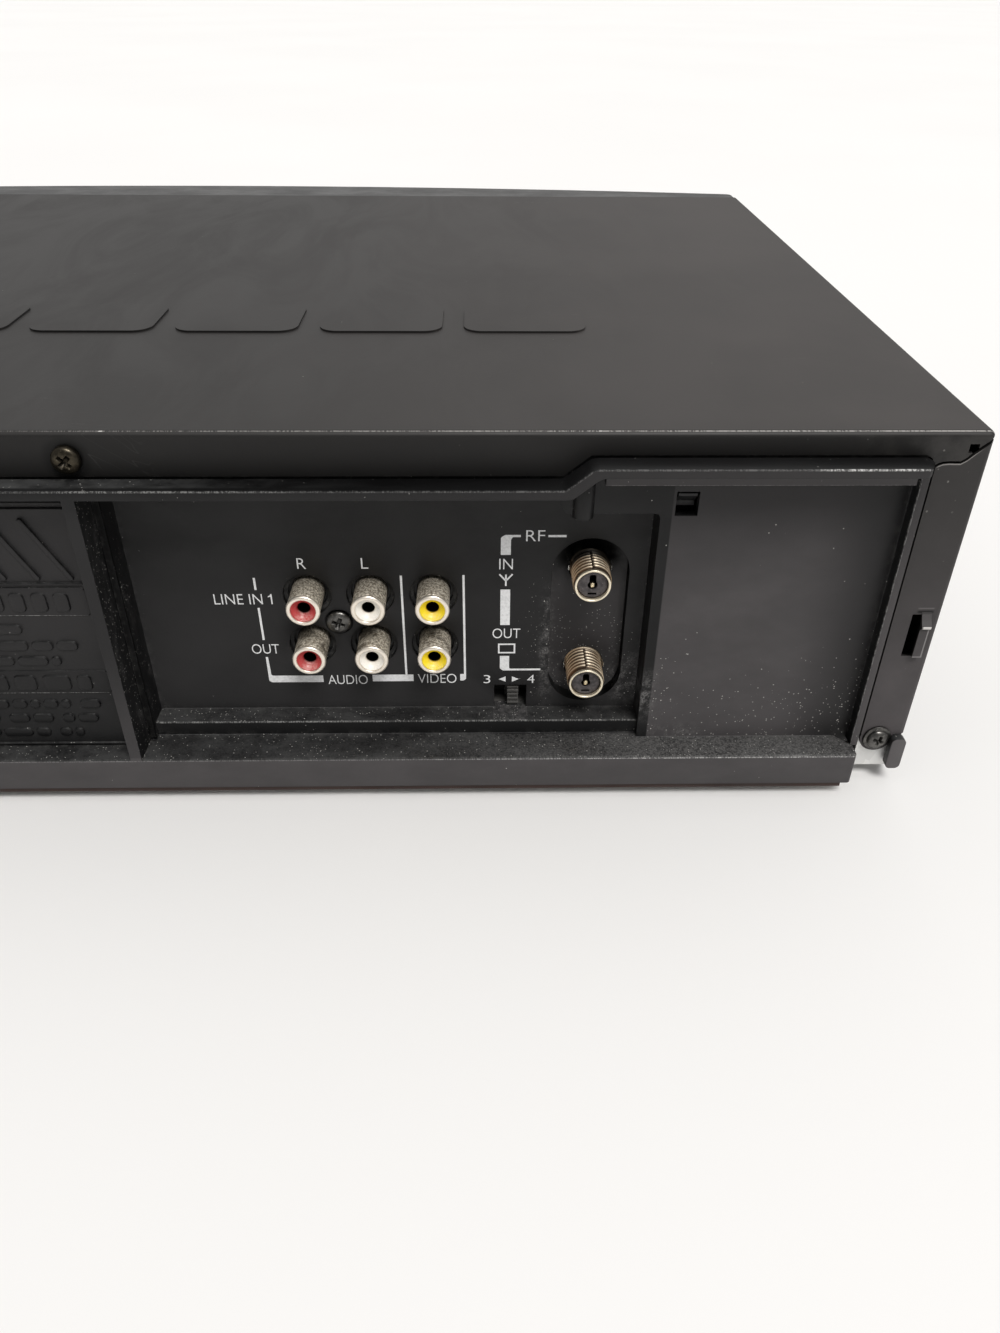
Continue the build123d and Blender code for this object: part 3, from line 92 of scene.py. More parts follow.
# --------------------------------------------------------- node graph helper
class G:
    """A material and short calls that add nodes to it."""

    def __init__(self, name, rough=0.5, metal=0.0, spec=0.5, ior=1.5, coat=0.0, coat_rough=0.1, alpha=None, trans=0.0):
        self.m = bpy.data.materials.new(name)
        self.m.use_nodes = True
        self.nt = self.m.node_tree
        self.nt.nodes.clear()
        self.out = self.nt.nodes.new("ShaderNodeOutputMaterial")
        self.b = self.nt.nodes.new("ShaderNodeBsdfPrincipled")
        self.nt.links.new(self.b.outputs[0], self.out.inputs[0])
        self.b.inputs["Roughness"].default_value = rough
        self.b.inputs["Metallic"].default_value = metal
        self.b.inputs["Specular IOR Level"].default_value = spec
        self.b.inputs["IOR"].default_value = ior
        self.b.inputs["Coat Weight"].default_value = coat
        self.b.inputs["Coat Roughness"].default_value = coat_rough
        self.b.inputs["Transmission Weight"].default_value = trans
        if alpha is not None:
            self.b.inputs["Alpha"].default_value = alpha
        self._co = None

    def put(self, socket, value):
        if isinstance(value, bpy.types.NodeSocket):
            self.nt.links.new(value, socket)
        elif isinstance(value, (tuple, list)):
            socket.default_value = tuple(value) + ((1.0,) if len(value) == 3 and socket.type == "RGBA" else ())
        else:
            if socket.type == "RGBA":
                value = (value, value, value, 1.0)
            elif socket.type == "VECTOR":
                value = (value, value, value)
            socket.default_value = value

    @property
    def co(self):
        if self._co is None:
            self._co = self.nt.nodes.new("ShaderNodeTexCoord")
        return self._co.outputs["Object"]

    @property
    def normal(self):
        self.co
        return self._co.outputs["Normal"]

    def map(self, vec=None, loc=(0, 0, 0), rot=(0, 0, 0), scale=(1, 1, 1)):
        n = self.nt.nodes.new("ShaderNodeMapping")
        self.put(n.inputs["Vector"], vec if vec is not None else self.co)
        n.inputs["Location"].default_value = loc
        n.inputs["Rotation"].default_value = rot
        n.inputs["Scale"].default_value = scale
        return n.outputs[0]

    def noise(self, scale, detail=4.0, rough=0.55, vec=None, dist=0.0, lac=2.0, color=False):
        n = self.nt.nodes.new("ShaderNodeTexNoise")
        self.put(n.inputs["Vector"], vec if vec is not None else self.co)
        n.inputs["Scale"].default_value = scale
        n.inputs["Detail"].default_value = detail
        n.inputs["Roughness"].default_value = rough
        n.inputs["Lacunarity"].default_value = lac
        n.inputs["Distortion"].default_value = dist
        return n.outputs["Color" if color else "Fac"]

    def voronoi(self, scale, vec=None, feature="F1", rand=1.0):
        n = self.nt.nodes.new("ShaderNodeTexVoronoi")
        n.feature = feature
        self.put(n.inputs["Vector"], vec if vec is not None else self.co)
        n.inputs["Scale"].default_value = scale
        n.inputs["Randomness"].default_value = rand
        return n

    def ramp(self, fac, stops, interp="LINEAR"):
        n = self.nt.nodes.new("ShaderNodeValToRGB")
        n.color_ramp.interpolation = interp
        els = n.color_ramp.elements
        while len(els) < len(stops):
            els.new(0.5)
        for e, (p, c) in zip(els, stops):
            e.position = p
            e.color = (c, c, c, 1.0) if isinstance(c, (int, float)) else tuple(c) + (1.0,)
        self.put(n.inputs["Fac"], fac)
        return n.outputs["Color"]

    def math(self, op, a, b=0.0, c=None, clamp=False):
        n = self.nt.nodes.new("ShaderNodeMath")
        n.operation = op
        n.use_clamp = clamp
        self.put(n.inputs[0], a)
        self.put(n.inputs[1], b)
        if c is not None:
            self.put(n.inputs[2], c)
        return n.outputs[0]

    def mul(self, *v):
        r = v[0]
        for x in v[1:]:
            r = self.math("MULTIPLY", r, x)
        return r

    def mix(self, fac, a, b, blend="MIX"):
        n = self.nt.nodes.new("ShaderNodeMix")
        n.data_type = "RGBA"
        n.blend_type = blend
        n.clamp_factor = True
        self.put(n.inputs[0], fac)
        self.put(n.inputs[6], a)
        self.put(n.inputs[7], b)
        return n.outputs[2]

    def lerp(self, fac, a, b):
        n = self.nt.nodes.new("ShaderNodeMix")
        n.data_type = "FLOAT"
        n.clamp_factor = True
        self.put(n.inputs[0], fac)
        self.put(n.inputs[2], a)
        self.put(n.inputs[3], b)
        return n.outputs[0]

    def xyz(self, vec=None):
        n = self.nt.nodes.new("ShaderNodeSeparateXYZ")
        self.put(n.inputs[0], vec if vec is not None else self.co)
        return n.outputs

    def smooth(self, v, lo, hi):
        n = self.nt.nodes.new("ShaderNodeMapRange")
        n.interpolation_type = "SMOOTHSTEP"
        self.put(n.inputs["Value"], v)
        n.inputs["From Min"].default_value = lo
        n.inputs["From Max"].default_value = hi
        return n.outputs["Result"]

    def linear(self, v, lo, hi):
        n = self.nt.nodes.new("ShaderNodeMapRange")
        self.put(n.inputs["Value"], v)
        n.inputs["From Min"].default_value = lo
        n.inputs["From Max"].default_value = hi
        return n.outputs["Result"]

    def invert(self, v):
        return self.math("SUBTRACT", 1.0, v)

    def most(self, *v):
        r = v[0]
        for x in v[1:]:
            r = self.math("MAXIMUM", r, x)
        return r

    def bump(self, height, strength=0.3, dist=0.0002, normal=None):
        n = self.nt.nodes.new("ShaderNodeBump")
        n.inputs["Strength"].default_value = strength
        n.inputs["Distance"].default_value = dist
        self.put(n.inputs["Height"], height)
        if normal is not None:
            self.put(n.inputs["Normal"], normal)
        return n.outputs[0]

    def rounded(self, radius, samples=4):
        n = self.nt.nodes.new("ShaderNodeBevel")
        n.samples = samples
        n.inputs["Radius"].default_value = radius
        return n.outputs[0]

    def edge(self, radius, lo=0.02, hi=0.25, samples=4):
        """1 near an edge, from how far the rounded normal leaves the flat one."""
        geo = self.nt.nodes.new("ShaderNodeNewGeometry")
        dot = self.nt.nodes.new("ShaderNodeVectorMath")
        dot.operation = "DOT_PRODUCT"
        self.put(dot.inputs[0], self.rounded(radius, samples))
        self.put(dot.inputs[1], geo.outputs["Normal"])
        return self.smooth(self.math("SUBTRACT", 1.0, dot.outputs["Value"]), lo, hi)

    def crease(self, distance, lo=0.35, hi=0.85, samples=4):
        """1 in a concave corner, 0 in the open."""
        n = self.nt.nodes.new("ShaderNodeAmbientOcclusion")
        n.samples = samples
        n.inputs["Distance"].default_value = distance
        return self.math("SUBTRACT", 1.0, self.smooth(n.outputs["AO"], lo, hi))

    def band(self, v, lo, hi, soft):
        """1 where lo < v < hi."""
        return self.mul(self.smooth(v, lo - soft, lo + soft), self.math("SUBTRACT", 1.0, self.smooth(v, hi - soft, hi + soft)))

    def specks(self, scale, size, share, vec=None):
        """Sparse dots: a share of the cells holds one, size as a part of the cell."""
        v = self.voronoi(scale, vec)
        c = self.nt.nodes.new("ShaderNodeSeparateColor")
        self.put(c.inputs[0], v.outputs["Color"])
        keep = self.math("GREATER_THAN", self.math("ADD", c.outputs[0], share), 1.0)
        r = self.math("MULTIPLY", c.outputs[1], size)
        r = self.math("ADD", r, size * 0.35)
        dot = self.math("LESS_THAN", v.outputs["Distance"], r)
        return self.math("MULTIPLY", keep, dot)

    def set(self, base=None, rough=None, normal=None, metal=None):
        if base is not None:
            self.put(self.b.inputs["Base Color"], base)
        if rough is not None:
            self.put(self.b.inputs["Roughness"], rough)
        if normal is not None:
            self.put(self.b.inputs["Normal"], normal)
        if metal is not None:
            self.put(self.b.inputs["Metallic"], metal)
        return self.m


def c3(v):
    return (v, v, v)


# -------------------------------------------------------------- materials
MATS = {}


def cover_paint():
    g = G("cover_paint_m")
    x, y, z = g.xyz()
    minus = g.math("MULTIPLY", x, -1.0)
    ax = g.math("ABSOLUTE", x)
    soft = g.noise(9.0, 3, 0.5)
    smear = g.noise(34.0, 4, 0.6, vec=g.map(scale=(1.0, 0.35, 1.0)), dist=1.2)
    base = g.mix(g.smooth(soft, 0.3, 0.7), (0.0240, 0.0226, 0.0220), (0.0280, 0.0264, 0.0257))
    base = g.mix(g.mul(g.smooth(smear, 0.50, 0.80), 0.20), base, (0.044, 0.042, 0.0415))
    # lighter film, thicker toward the rear right of the lid: painted light for the brighter right side, and rougher as
    # dust
    top = g.smooth(z, 0.0970, 0.0979)
    film_and_light = g.mul(top, g.smooth(minus, 0.0, 0.20), g.lerp(g.smooth(g.noise(22.0, 4, 0.6), 0.25, 0.75), 0.60, 1.0))
    base = g.mix(g.mul(film_and_light, 0.56), base, (0.100, 0.091, 0.088))
    nx, ny, nz = g.xyz(g.normal)
    rear = g.smooth(ny, 0.75, 0.95)
    # open mitre: its lower lip runs at this height
    lip = g.ramp(g.linear(ax, 0.2032, 0.2156), [(0.0, 0.075), (0.0726, 0.156), (0.1411, 0.206), (0.25, 0.225), (0.4556, 0.219), (0.5565, 0.319), (0.6855, 0.519), (1.0, 0.9375)])
    over = g.math("SUBTRACT", z, g.math("ADD", g.math("MULTIPLY", lip, 0.0080), 0.0890))
    outer = g.smooth(ax, 0.2033, 0.2037)
    side = g.mul(rear, outer, g.invert(g.smooth(over, -0.0001, 0.0001)))
    # rear-facing faces darkened: painted shade on the flange, which the hood hides from the floor's light
    base = g.mix(g.mul(rear, 0.66), base, (0.0085, 0.0080, 0.0077))
    # side flanges below the mitre lighter toward the bottom, mottled: painted light from the floor
    grey = g.mix(g.smooth(z, 0.015, 0.088), (0.094, 0.086, 0.089), (0.044, 0.0415, 0.0405))
    mottle = g.smooth(g.noise(60.0, 5, 0.65), 0.25, 0.75)
    base = g.mix(g.mul(side, g.lerp(mottle, 0.72, 0.98)), base, grey)
    # dull bloom on the top flange beside the mitre
    bloom = g.mul(rear, g.smooth(minus, 0.172, 0.205), g.smooth(over, 0.0, 0.0002), g.smooth(g.noise(120.0, 5, 0.7), 0.35, 0.65))
    base = g.mix(g.mul(bloom, 0.45), base, (0.060, 0.057, 0.053))
    # painted shadow round the middle screw
    dx, dz = g.math("ADD", x, 0.0164), g.math("SUBTRACT", z, 0.0920)
    ring = g.math("SQRT", g.math("ADD", g.mul(dx, dx), g.mul(dz, dz)))
    base = g.mix(g.mul(g.invert(g.smooth(ring, 0.0036, 0.0060)), rear, 0.85), base, (0.0022, 0.0021, 0.0020))
    # bend along the rear edge: a bright line that is partly painted highlight and partly wear to bare metal, in short
    # slanting strokes, between two dark lines of painted shade
    bend = g.smooth(z, 0.0970, 0.0972)
    right = g.smooth(minus, -0.06, 0.20)
    crest = g.mul(g.band(y, 0.13758, 0.13786, 0.00006), bend)
    strokes = g.noise(3300.0, 2, 0.6, vec=g.map(rot=(0.0, 0.0, 0.75), scale=(1.0, 0.25, 0.3)))
    run = g.noise(46.0, 4, 0.65, vec=g.map(scale=(1.0, 0.02, 0.02)))
    amount = g.math("ADD", g.mul(strokes, 0.70), g.math("ADD", g.mul(run, 0.30), g.mul(right, 0.05)))
    wear_and_highlight = g.mul(crest, g.lerp(g.smooth(amount, 0.49, 0.56), 0.04, 1.0), g.lerp(right, 0.16, 0.80))
    lines = g.mul(g.most(g.band(y, 0.13728, 0.13748, 0.00005), g.band(y, 0.13800, 0.13822, 0.00005)), bend, g.lerp(right, 0.2, 0.75))
    base = g.mix(lines, base, (0.0085, 0.0080, 0.0078))
    base = g.mix(wear_and_highlight, base, (0.50, 0.485, 0.465))
    sparks = g.mul(crest, g.specks(900.0, 0.30, 0.06), 0.8)
    base = g.mix(sparks, base, (0.60, 0.59, 0.57))
    # painted highlights on the mitre's lower lip and on the hook tongue's bend and cut edges; the tongue's upper slope
    # painted lighter as lit, and a painted shadow with a highlight line along the top of the hook's window
    lit = g.mul(rear, g.smooth(ax, 0.2036, 0.2042), g.band(over, -0.00036, -0.00004, 0.00004), g.invert(g.smooth(ax, 0.2110, 0.2135)), 0.75)
    base = g.mix(lit, base, (0.28, 0.27, 0.26))
    proud = g.smooth(y, 0.1394, 0.1397)
    tongue_edge = g.mul(proud, g.band(z, 0.0400, 0.0488, 0.0001), g.most(g.band(ax, 0.21208, 0.21245, 0.00004), g.band(z, 0.0400, 0.0407, 0.00005)))
    bend_line = g.mul(proud, g.band(z, 0.0489, 0.0497, 0.0001), g.band(ax, 0.2104, 0.2126, 0.0003))
    base = g.mix(g.mul(g.smooth(y, 0.1387, 0.1389), g.band(z, 0.0495, 0.0530, 0.0002), 0.65), base, (0.075, 0.070, 0.071))
    base = g.mix(g.mul(tongue_edge, 0.80), base, (0.26, 0.25, 0.25))
    base = g.mix(g.mul(bend_line, 0.90), base, (0.66, 0.64, 0.62))
    over_hook = g.mul(g.band(ax, 0.2090, 0.2128, 0.0004), rear, g.invert(g.smooth(y, 0.1387, 0.1389)))
    base = g.mix(g.mul(over_hook, g.band(z, 0.0524, 0.0531, 0.0001), 0.85), base, (0.004, 0.004, 0.004))
    base = g.mix(g.mul(over_hook, g.band(z, 0.0535, 0.0539, 0.0001), 0.45), base, (0.20, 0.19, 0.19))
    edge = g.edge(0.0005, 0.03, 0.30)
    base = g.mix(g.mul(edge, g.smooth(g.noise(420.0, 3, 0.6), 0.45, 0.75), g.smooth(y, 0.10, 0.13), 0.30), base, (0.16, 0.155, 0.15))
    # dust, nicks and long faint hairlines
    s1 = g.specks(210.0, 0.034, 0.10)
    s2 = g.specks(900.0, 0.075, 0.016)
    s3 = g.mul(g.specks(700.0, 0.14, 0.10), g.mul(rear, g.smooth(g.noise(40.0, 3, 0.6), 0.45, 0.65), g.smooth(ax, 0.160, 0.200)))
    base = g.mix(g.most(g.mul(s1, 0.60), g.mul(s2, 0.30), g.mul(s3, 0.40)), base, (0.34, 0.33, 0.31))
    hair = g.noise(6.0, 5, 0.62, vec=g.map(rot=(0, 0, 0.5), scale=(1.0, 5.0, 1.0)), dist=2.2)
    line = g.math("LESS_THAN", g.math("ABSOLUTE", g.math("SUBTRACT", hair, 0.5)), 0.0010)
    line = g.mul(line, g.smooth(g.noise(14.0, 2, 0.5), 0.58, 0.68))
    base = g.mix(g.mul(line, 0.25), base, (0.14, 0.137, 0.133))
    r = g.lerp(g.smooth(smear, 0.35, 0.75), 0.47, 0.56)
    r = g.lerp(film_and_light, r, 0.60)
    r = g.lerp(side, r, 0.62)
    r = g.lerp(wear_and_highlight, r, 0.36)
    n = g.bump(g.noise(2600.0, 2, 0.5), 0.14, 0.00006)
    n = g.bump(g.noise(520.0, 2, 0.5), 0.10, 0.00012, n)
    n = g.bump(g.math("SUBTRACT", 1.0, line), 0.15, 0.00004, n)
    return g.set(base, r, n)


def moulded(name, dark, light, dust=0.30, rough=(0.38, 0.55), grain=1900.0, edge_col=(0.15, 0.15, 0.155), edge_amount=0.4, specks=1.0, grain_strength=0.18, rounding=True, marks_and_light=None, corners=0.5, spec=0.5):
    """Black ABS with a fine spark finish, rubbed edges, settled dust and lint; the marks-and-light function adds film,
    painted light and shade, and painted edge highlights.
    """
    g = G(name, spec=spec)
    wide = g.noise(14.0, 4, 0.6)
    base = g.mix(g.smooth(wide, 0.32, 0.70), dark, light)
    nx, ny, nz = g.xyz(g.normal)
    up = g.smooth(nz, 0.55, 0.95)
    cloud = g.noise(85.0, 5, 0.65, vec=g.map(scale=(0.6, 1.0, 1.0)))
    spread = g.noise(380.0, 4, 0.7)
    clean = 1.0
    dense = 0.0
    crest = black = powder = None
    if marks_and_light:
        film_and_light, film_and_light_col, clean, dense, crest, black, powder = marks_and_light(g, nx, ny, nz, cloud)
        base = g.mix(film_and_light, base, film_and_light_col)
        # painted shade: the black mask goes near-black
        base = g.mix(black, base, (0.0018, 0.0018, 0.0019))
    settle = g.mul(up, g.smooth(g.math("ADD", g.mul(cloud, 0.7), g.mul(spread, 0.3)), 0.34, 0.66), dust, clean)
    base = g.mix(settle, base, (0.120, 0.122, 0.122))
    if powder is not None:
        grains = g.noise(2100.0, 2, 0.7)
        base = g.mix(g.mul(powder, g.smooth(grains, 0.30, 0.66)), base, (0.170, 0.166, 0.164))
    low = g.crease(0.0035)
    corner = g.mul(low, g.smooth(spread, 0.46, 0.62), corners, clean)
    base = g.mix(corner, base, (0.100, 0.099, 0.094))
    edge = g.edge(0.0004, 0.02, 0.30)
    rub = g.noise(330.0, 4, 0.65)
    base = g.mix(g.mul(edge, g.smooth(rub, 0.42, 0.70), edge_amount), base, edge_col)
    if crest is not None:
        # painted highlight lines along edges, broken into rubbed dashes
        dash = g.noise(2900.0, 2, 0.6, vec=g.map(rot=(0.0, 0.8, 0.0), scale=(1.0, 0.3, 0.4)))
        base = g.mix(g.mul(crest, g.lerp(g.smooth(g.math("ADD", g.mul(dash, 0.75), g.mul(rub, 0.25)), 0.46, 0.56), 0.15, 1.0)), base, (0.52, 0.52, 0.51))
    many = g.smooth(g.noise(26.0, 3, 0.6), 0.45, 0.70)
    share = g.math("ADD", g.mul(many, 0.012), g.math("ADD", g.mul(up, clean, 0.05), g.math("ADD", g.mul(low, 0.10), dense)))
    d1 = g.specks(560.0, 0.075, g.mul(share, 0.45))
    d2 = g.specks(1600.0, 0.20, share)
    d3 = g.specks(1050.0, 0.13, g.mul(share, 0.8))
    lint = g.most(g.mul(d1, 0.85), g.mul(d2, 0.62), g.mul(d3, 0.85))
    if black is not None:
        lint = g.mul(lint, g.lerp(black, 1.0, 0.25))
    base = g.mix(g.mul(lint, specks), base, (0.52, 0.51, 0.485))
    r = g.lerp(g.smooth(cloud, 0.30, 0.75), rough[0], rough[1])
    r = g.lerp(settle, r, 0.80)
    if marks_and_light:
        r = g.lerp(film_and_light, r, 0.58)
    n = g.rounded(0.0003) if rounding else None
    n = g.bump(g.noise(grain, 2, 0.5), grain_strength, 0.00010, n)
    # the black mask also makes those areas metallic, so the painted shade there reflects almost nothing
    return g.set(base, r, n, g.mul(black, 0.92) if marks_and_light else None)


def rear_film_and_light(g, nx, ny, nz, cloud):
    """Where the rear moulding has greyed, as film and as painted light and shade; where it is painted near-black as
    shade; where it stayed glossy; where lint has gathered; and the painted edge highlights, broken as if rubbed.
    """
    x, y, z = g.xyz()
    minus = g.math("MULTIPLY", x, -1.0)
    ax = g.math("ABSOLUTE", x)
    back = g.smooth(ny, 0.6, 0.9)
    up = g.smooth(nz, 0.5, 0.8)
    uneven = g.lerp(g.smooth(cloud, 0.25, 0.75), 0.75, 1.0)
    side = g.most(g.invert(g.smooth(x, -0.1476, -0.1472)), g.smooth(x, 0.0488, 0.0492))
    flat = g.mul(g.band(y, 0.1370, 0.1380, 0.0002), side)
    # panel faces greyer toward the bottom, darker toward the top: painted shade from the hood, within the film
    face = g.mul(flat, g.invert(g.smooth(z, 0.052, 0.094)))
    face = g.math("ADD", g.mul(face, 0.75), g.mul(flat, 0.25))
    # darker beside the rim bar: painted shadow of the bar
    face = g.mul(face, g.invert(g.mul(g.smooth(minus, 0.1790, 0.1985), 0.80)))
    rim = g.smooth(y, 0.1450, 0.1455)
    lip = g.mul(rim, g.invert(g.smooth(z, 0.0145, 0.0160)))
    post = g.mul(rim, g.invert(g.smooth(z, 0.080, 0.085)), g.lerp(g.smooth(z, 0.018, 0.050), 0.62, 0.14))
    toward = g.smooth(minus, 0.02, 0.20)
    # hood's front face greyer toward the right: painted light
    hood = g.mul(rim, g.smooth(z, 0.084, 0.086), g.lerp(toward, 0.0, 0.42))
    # strip under the hood lifted to grey: painted light on a shaded face
    strip = g.mul(g.band(y, 0.1412, 0.1418, 0.0002), g.smooth(z, 0.0860, 0.0866), 0.85)
    # aerial pocket greyer low, darker toward its top: painted shade under its rim
    pocket = g.mul(g.invert(g.smooth(y, 0.1262, 0.1266)), g.lerp(g.smooth(z, 0.050, 0.062), 0.62, 0.10))
    bars = g.mul(g.band(y, 0.1405, 0.1412, 0.0002), g.invert(g.smooth(x, -0.199, -0.1985)), g.lerp(g.smooth(z, 0.050, 0.088), 1.0, 0.45))
    # framed field between the pillars, greyer toward its top
    field = g.mul(g.band(y, 0.1392, 0.1405, 0.0002), g.band(x, -0.0158, 0.0458, 0.0003), g.lerp(g.smooth(z, 0.016, 0.062), 0.0, 0.26))
    # recess back wall greyer toward the bottom: painted light, its top left in shade under the hood
    floor = g.mul(g.band(y, 0.1290, 0.1300, 0.0002), g.band(x, -0.1450, -0.0200, 0.0003), g.lerp(g.smooth(z, 0.015, 0.080), 0.15, 0.03))
    film_and_light = g.mul(back, g.most(g.mul(uneven, g.most(face, lip, post, field, hood, pocket)), strip, bars, floor))
    # the hood's upper face stays glossy toward the right, and along its front edge
    hood_top = g.mul(g.smooth(z, 0.086, 0.087), up)
    left = g.mul(g.smooth(x, -0.090, -0.020), g.invert(g.smooth(y, 0.1436, 0.1446)))
    clean = g.invert(g.mul(hood_top, g.lerp(left, 1.0, -0.6)))
    low = g.mul(g.invert(g.smooth(z, 0.0185, 0.0195)), up)
    clean = g.math("ADD", clean, g.mul(low, 0.15))
    powder = g.mul(low, g.most(g.mul(g.smooth(y, 0.1358, 0.1364), g.lerp(g.smooth(minus, 0.050, 0.170), 0.03, 0.66)), 0.12))
    heap = g.most(g.mul(g.band(x, -0.1480, -0.1385, 0.0020), g.band(z, 0.0215, 0.0330, 0.0045)), g.mul(g.band(x, -0.1225, -0.1195, 0.0014), g.band(z, 0.0240, 0.0500, 0.0080)),
                  g.mul(g.band(x, -0.1600, -0.1480, 0.0040), g.band(z, 0.0130, 0.0170, 0.0030), flat))
    powder = g.most(powder, g.mul(heap, g.band(y, 0.1258, 0.1380, 0.0002), g.smooth(g.noise(420.0, 4, 0.7), 0.40, 0.62), 0.90))
    stain = g.mul(g.band(x, -0.0207, -0.0155, 0.0002), g.band(y, 0.1300, 0.1456, 0.0010), g.invert(back), g.smooth(g.noise(150.0, 5, 0.7, vec=g.map(scale=(1.0, 1.0, 0.5))), 0.50, 0.72), 0.42)
    powder = g.most(powder, stain)
    # lint low in the aerial pocket, along the pillar, by the switch and in the lower right corner
    in_pocket = g.mul(g.band(x, -0.1410, -0.1205, 0.0010), g.invert(g.smooth(z, 0.034, 0.054)), g.band(y, 0.1250, 0.1268, 0.0004))
    pocket_rim = g.mul(g.most(g.band(x, -0.1215, -0.1160, 0.0025), g.mul(g.band(x, -0.1475, -0.1400, 0.0030), g.invert(g.smooth(z, 0.028, 0.044)))), g.invert(g.smooth(z, 0.046, 0.064)), g.band(y, 0.1290, 0.1300, 0.0002))
    pillar = g.mul(g.band(x, -0.0210, -0.0155, 0.0006), g.smooth(y, 0.1300, 0.1320), g.invert(back), 0.8)
    foot = g.mul(flat, g.lerp(g.smooth(minus, 0.150, 0.195), 0.45, 1.0), g.invert(g.smooth(z, 0.015, 0.040)))
    ends = g.mul(flat, g.most(g.smooth(minus, 0.165, 0.198), g.invert(g.smooth(minus, 0.147, 0.160))), g.invert(g.smooth(z, 0.016, 0.050)))
    wall = g.mul(g.band(x, -0.1165, -0.1075, 0.0001), g.band(z, 0.0176, 0.0256, 0.0002), g.invert(back), 2.2)
    clumps = g.lerp(g.smooth(g.noise(240.0, 4, 0.65), 0.38, 0.66), 0.25, 1.45)
    dense = g.mul(g.most(g.most(in_pocket, g.mul(pocket_rim, 0.9), pillar), g.most(foot, ends), g.mul(low, 0.5), wall), clumps, 0.55)
    film_and_light = g.most(film_and_light, g.mul(g.band(x, -0.1165, -0.1075, 0.0001), g.band(z, 0.0176, 0.0256, 0.0002), g.invert(back), g.smooth(g.noise(700.0, 4, 0.7), 0.40, 0.60), 0.8))
    # painted shade, near-black: the pocket's right wall, behind the upper socket, the strip beside the pillar and the
    # middle of the hood's top face
    wall_r = g.mul(g.band(y, 0.1259, 0.12965, 0.0001), g.smooth(minus, 0.1330, 0.1385), g.invert(back), g.smooth(g.math("ABSOLUTE", nx), 0.2, 0.6))
    dx, dz = g.math("ADD", x, 0.131), g.math("SUBTRACT", z, 0.0610)
    d = g.math("SQRT", g.math("ADD", g.mul(dx, dx), g.mul(dz, dz)))
    behind = g.mul(g.invert(g.smooth(y, 0.1268, 0.1275)), g.invert(g.smooth(d, 0.0054, 0.0090)), g.smooth(z, 0.0560, 0.0610))
    fillet_strip = g.mul(g.band(x, -0.0205, -0.0186, 0.0001), g.band(y, 0.1368, 0.1380, 0.0002), 0.60)
    mid_hood = g.mul(hood_top, g.band(minus, 0.030, 0.110, 0.025), g.invert(g.mul(g.smooth(g.noise(45.0, 4, 0.6, vec=g.map(scale=(0.3, 1.0, 1.0))), 0.45, 0.70), 0.6)), 0.62)
    black = g.most(g.mul(wall_r, 0.98), g.mul(behind, 0.97), fillet_strip, mid_hood)
    # painted highlights along edges, partly rubbed wear, broken into dashes
    step = g.math("ADD", 0.0878, g.math("MULTIPLY", g.linear(ax, 0.1225, 0.1285), 0.0048))
    off = g.math("SUBTRACT", z, step)
    strong = g.most(0.16, g.most(g.mul(g.band(minus, 0.176, 0.1990, 0.003), 1.0), g.mul(g.band(x, -0.064, -0.012, 0.006), 0.34)))
    hood_edge = g.mul(g.band(off, -0.00028, 0.0001, 0.00004), g.smooth(y, 0.1454, 0.1456), strong)
    ledge_edge = g.mul(rim, g.band(z, 0.01368, 0.01398, 0.00005), g.lerp(g.smooth(minus, 0.05, 0.18), 0.22, 0.90))
    shelf_edge = g.mul(g.band(z, 0.0177, 0.0184, 0.0001), g.band(y, 0.13512, 0.1356, 0.00005), 0.35)
    strip_edge = g.mul(g.band(y, 0.1411, 0.1418, 0.0001), g.band(z, 0.0868, 0.08712, 0.00004), 0.30)
    bar_edge = g.mul(g.band(y, 0.1405, 0.1412, 0.0001), g.band(minus, 0.19995, 0.2003, 0.00005), 0.35)
    band_edge = g.mul(g.band(y, 0.13972, 0.14002, 0.00004), g.most(g.band(z, 0.05334, 0.05362, 0.00004), g.band(z, 0.03084, 0.03112, 0.00004)), 0.65)
    crest = g.most(g.most(hood_edge, ledge_edge), g.most(shelf_edge, strip_edge), g.most(bar_edge, band_edge))
    return film_and_light, (0.084, 0.0790, 0.0810), clean, dense, crest, black, powder


def rail_film(g, nx, ny, nz, cloud):
    """Caps of the side runners, greyed on their ends."""
    x, y, z = g.xyz()
    film_and_light = g.mul(g.smooth(ny, 0.5, 0.9), g.smooth(y, 0.1386, 0.1392), g.lerp(g.smooth(cloud, 0.25, 0.75), 0.80, 1.0))
    return film_and_light, (0.118, 0.111, 0.114), 1.0, 0.02, g.mul(film_and_light, 0.0), g.mul(film_and_light, 0.0), g.mul(film_and_light, 0.0)


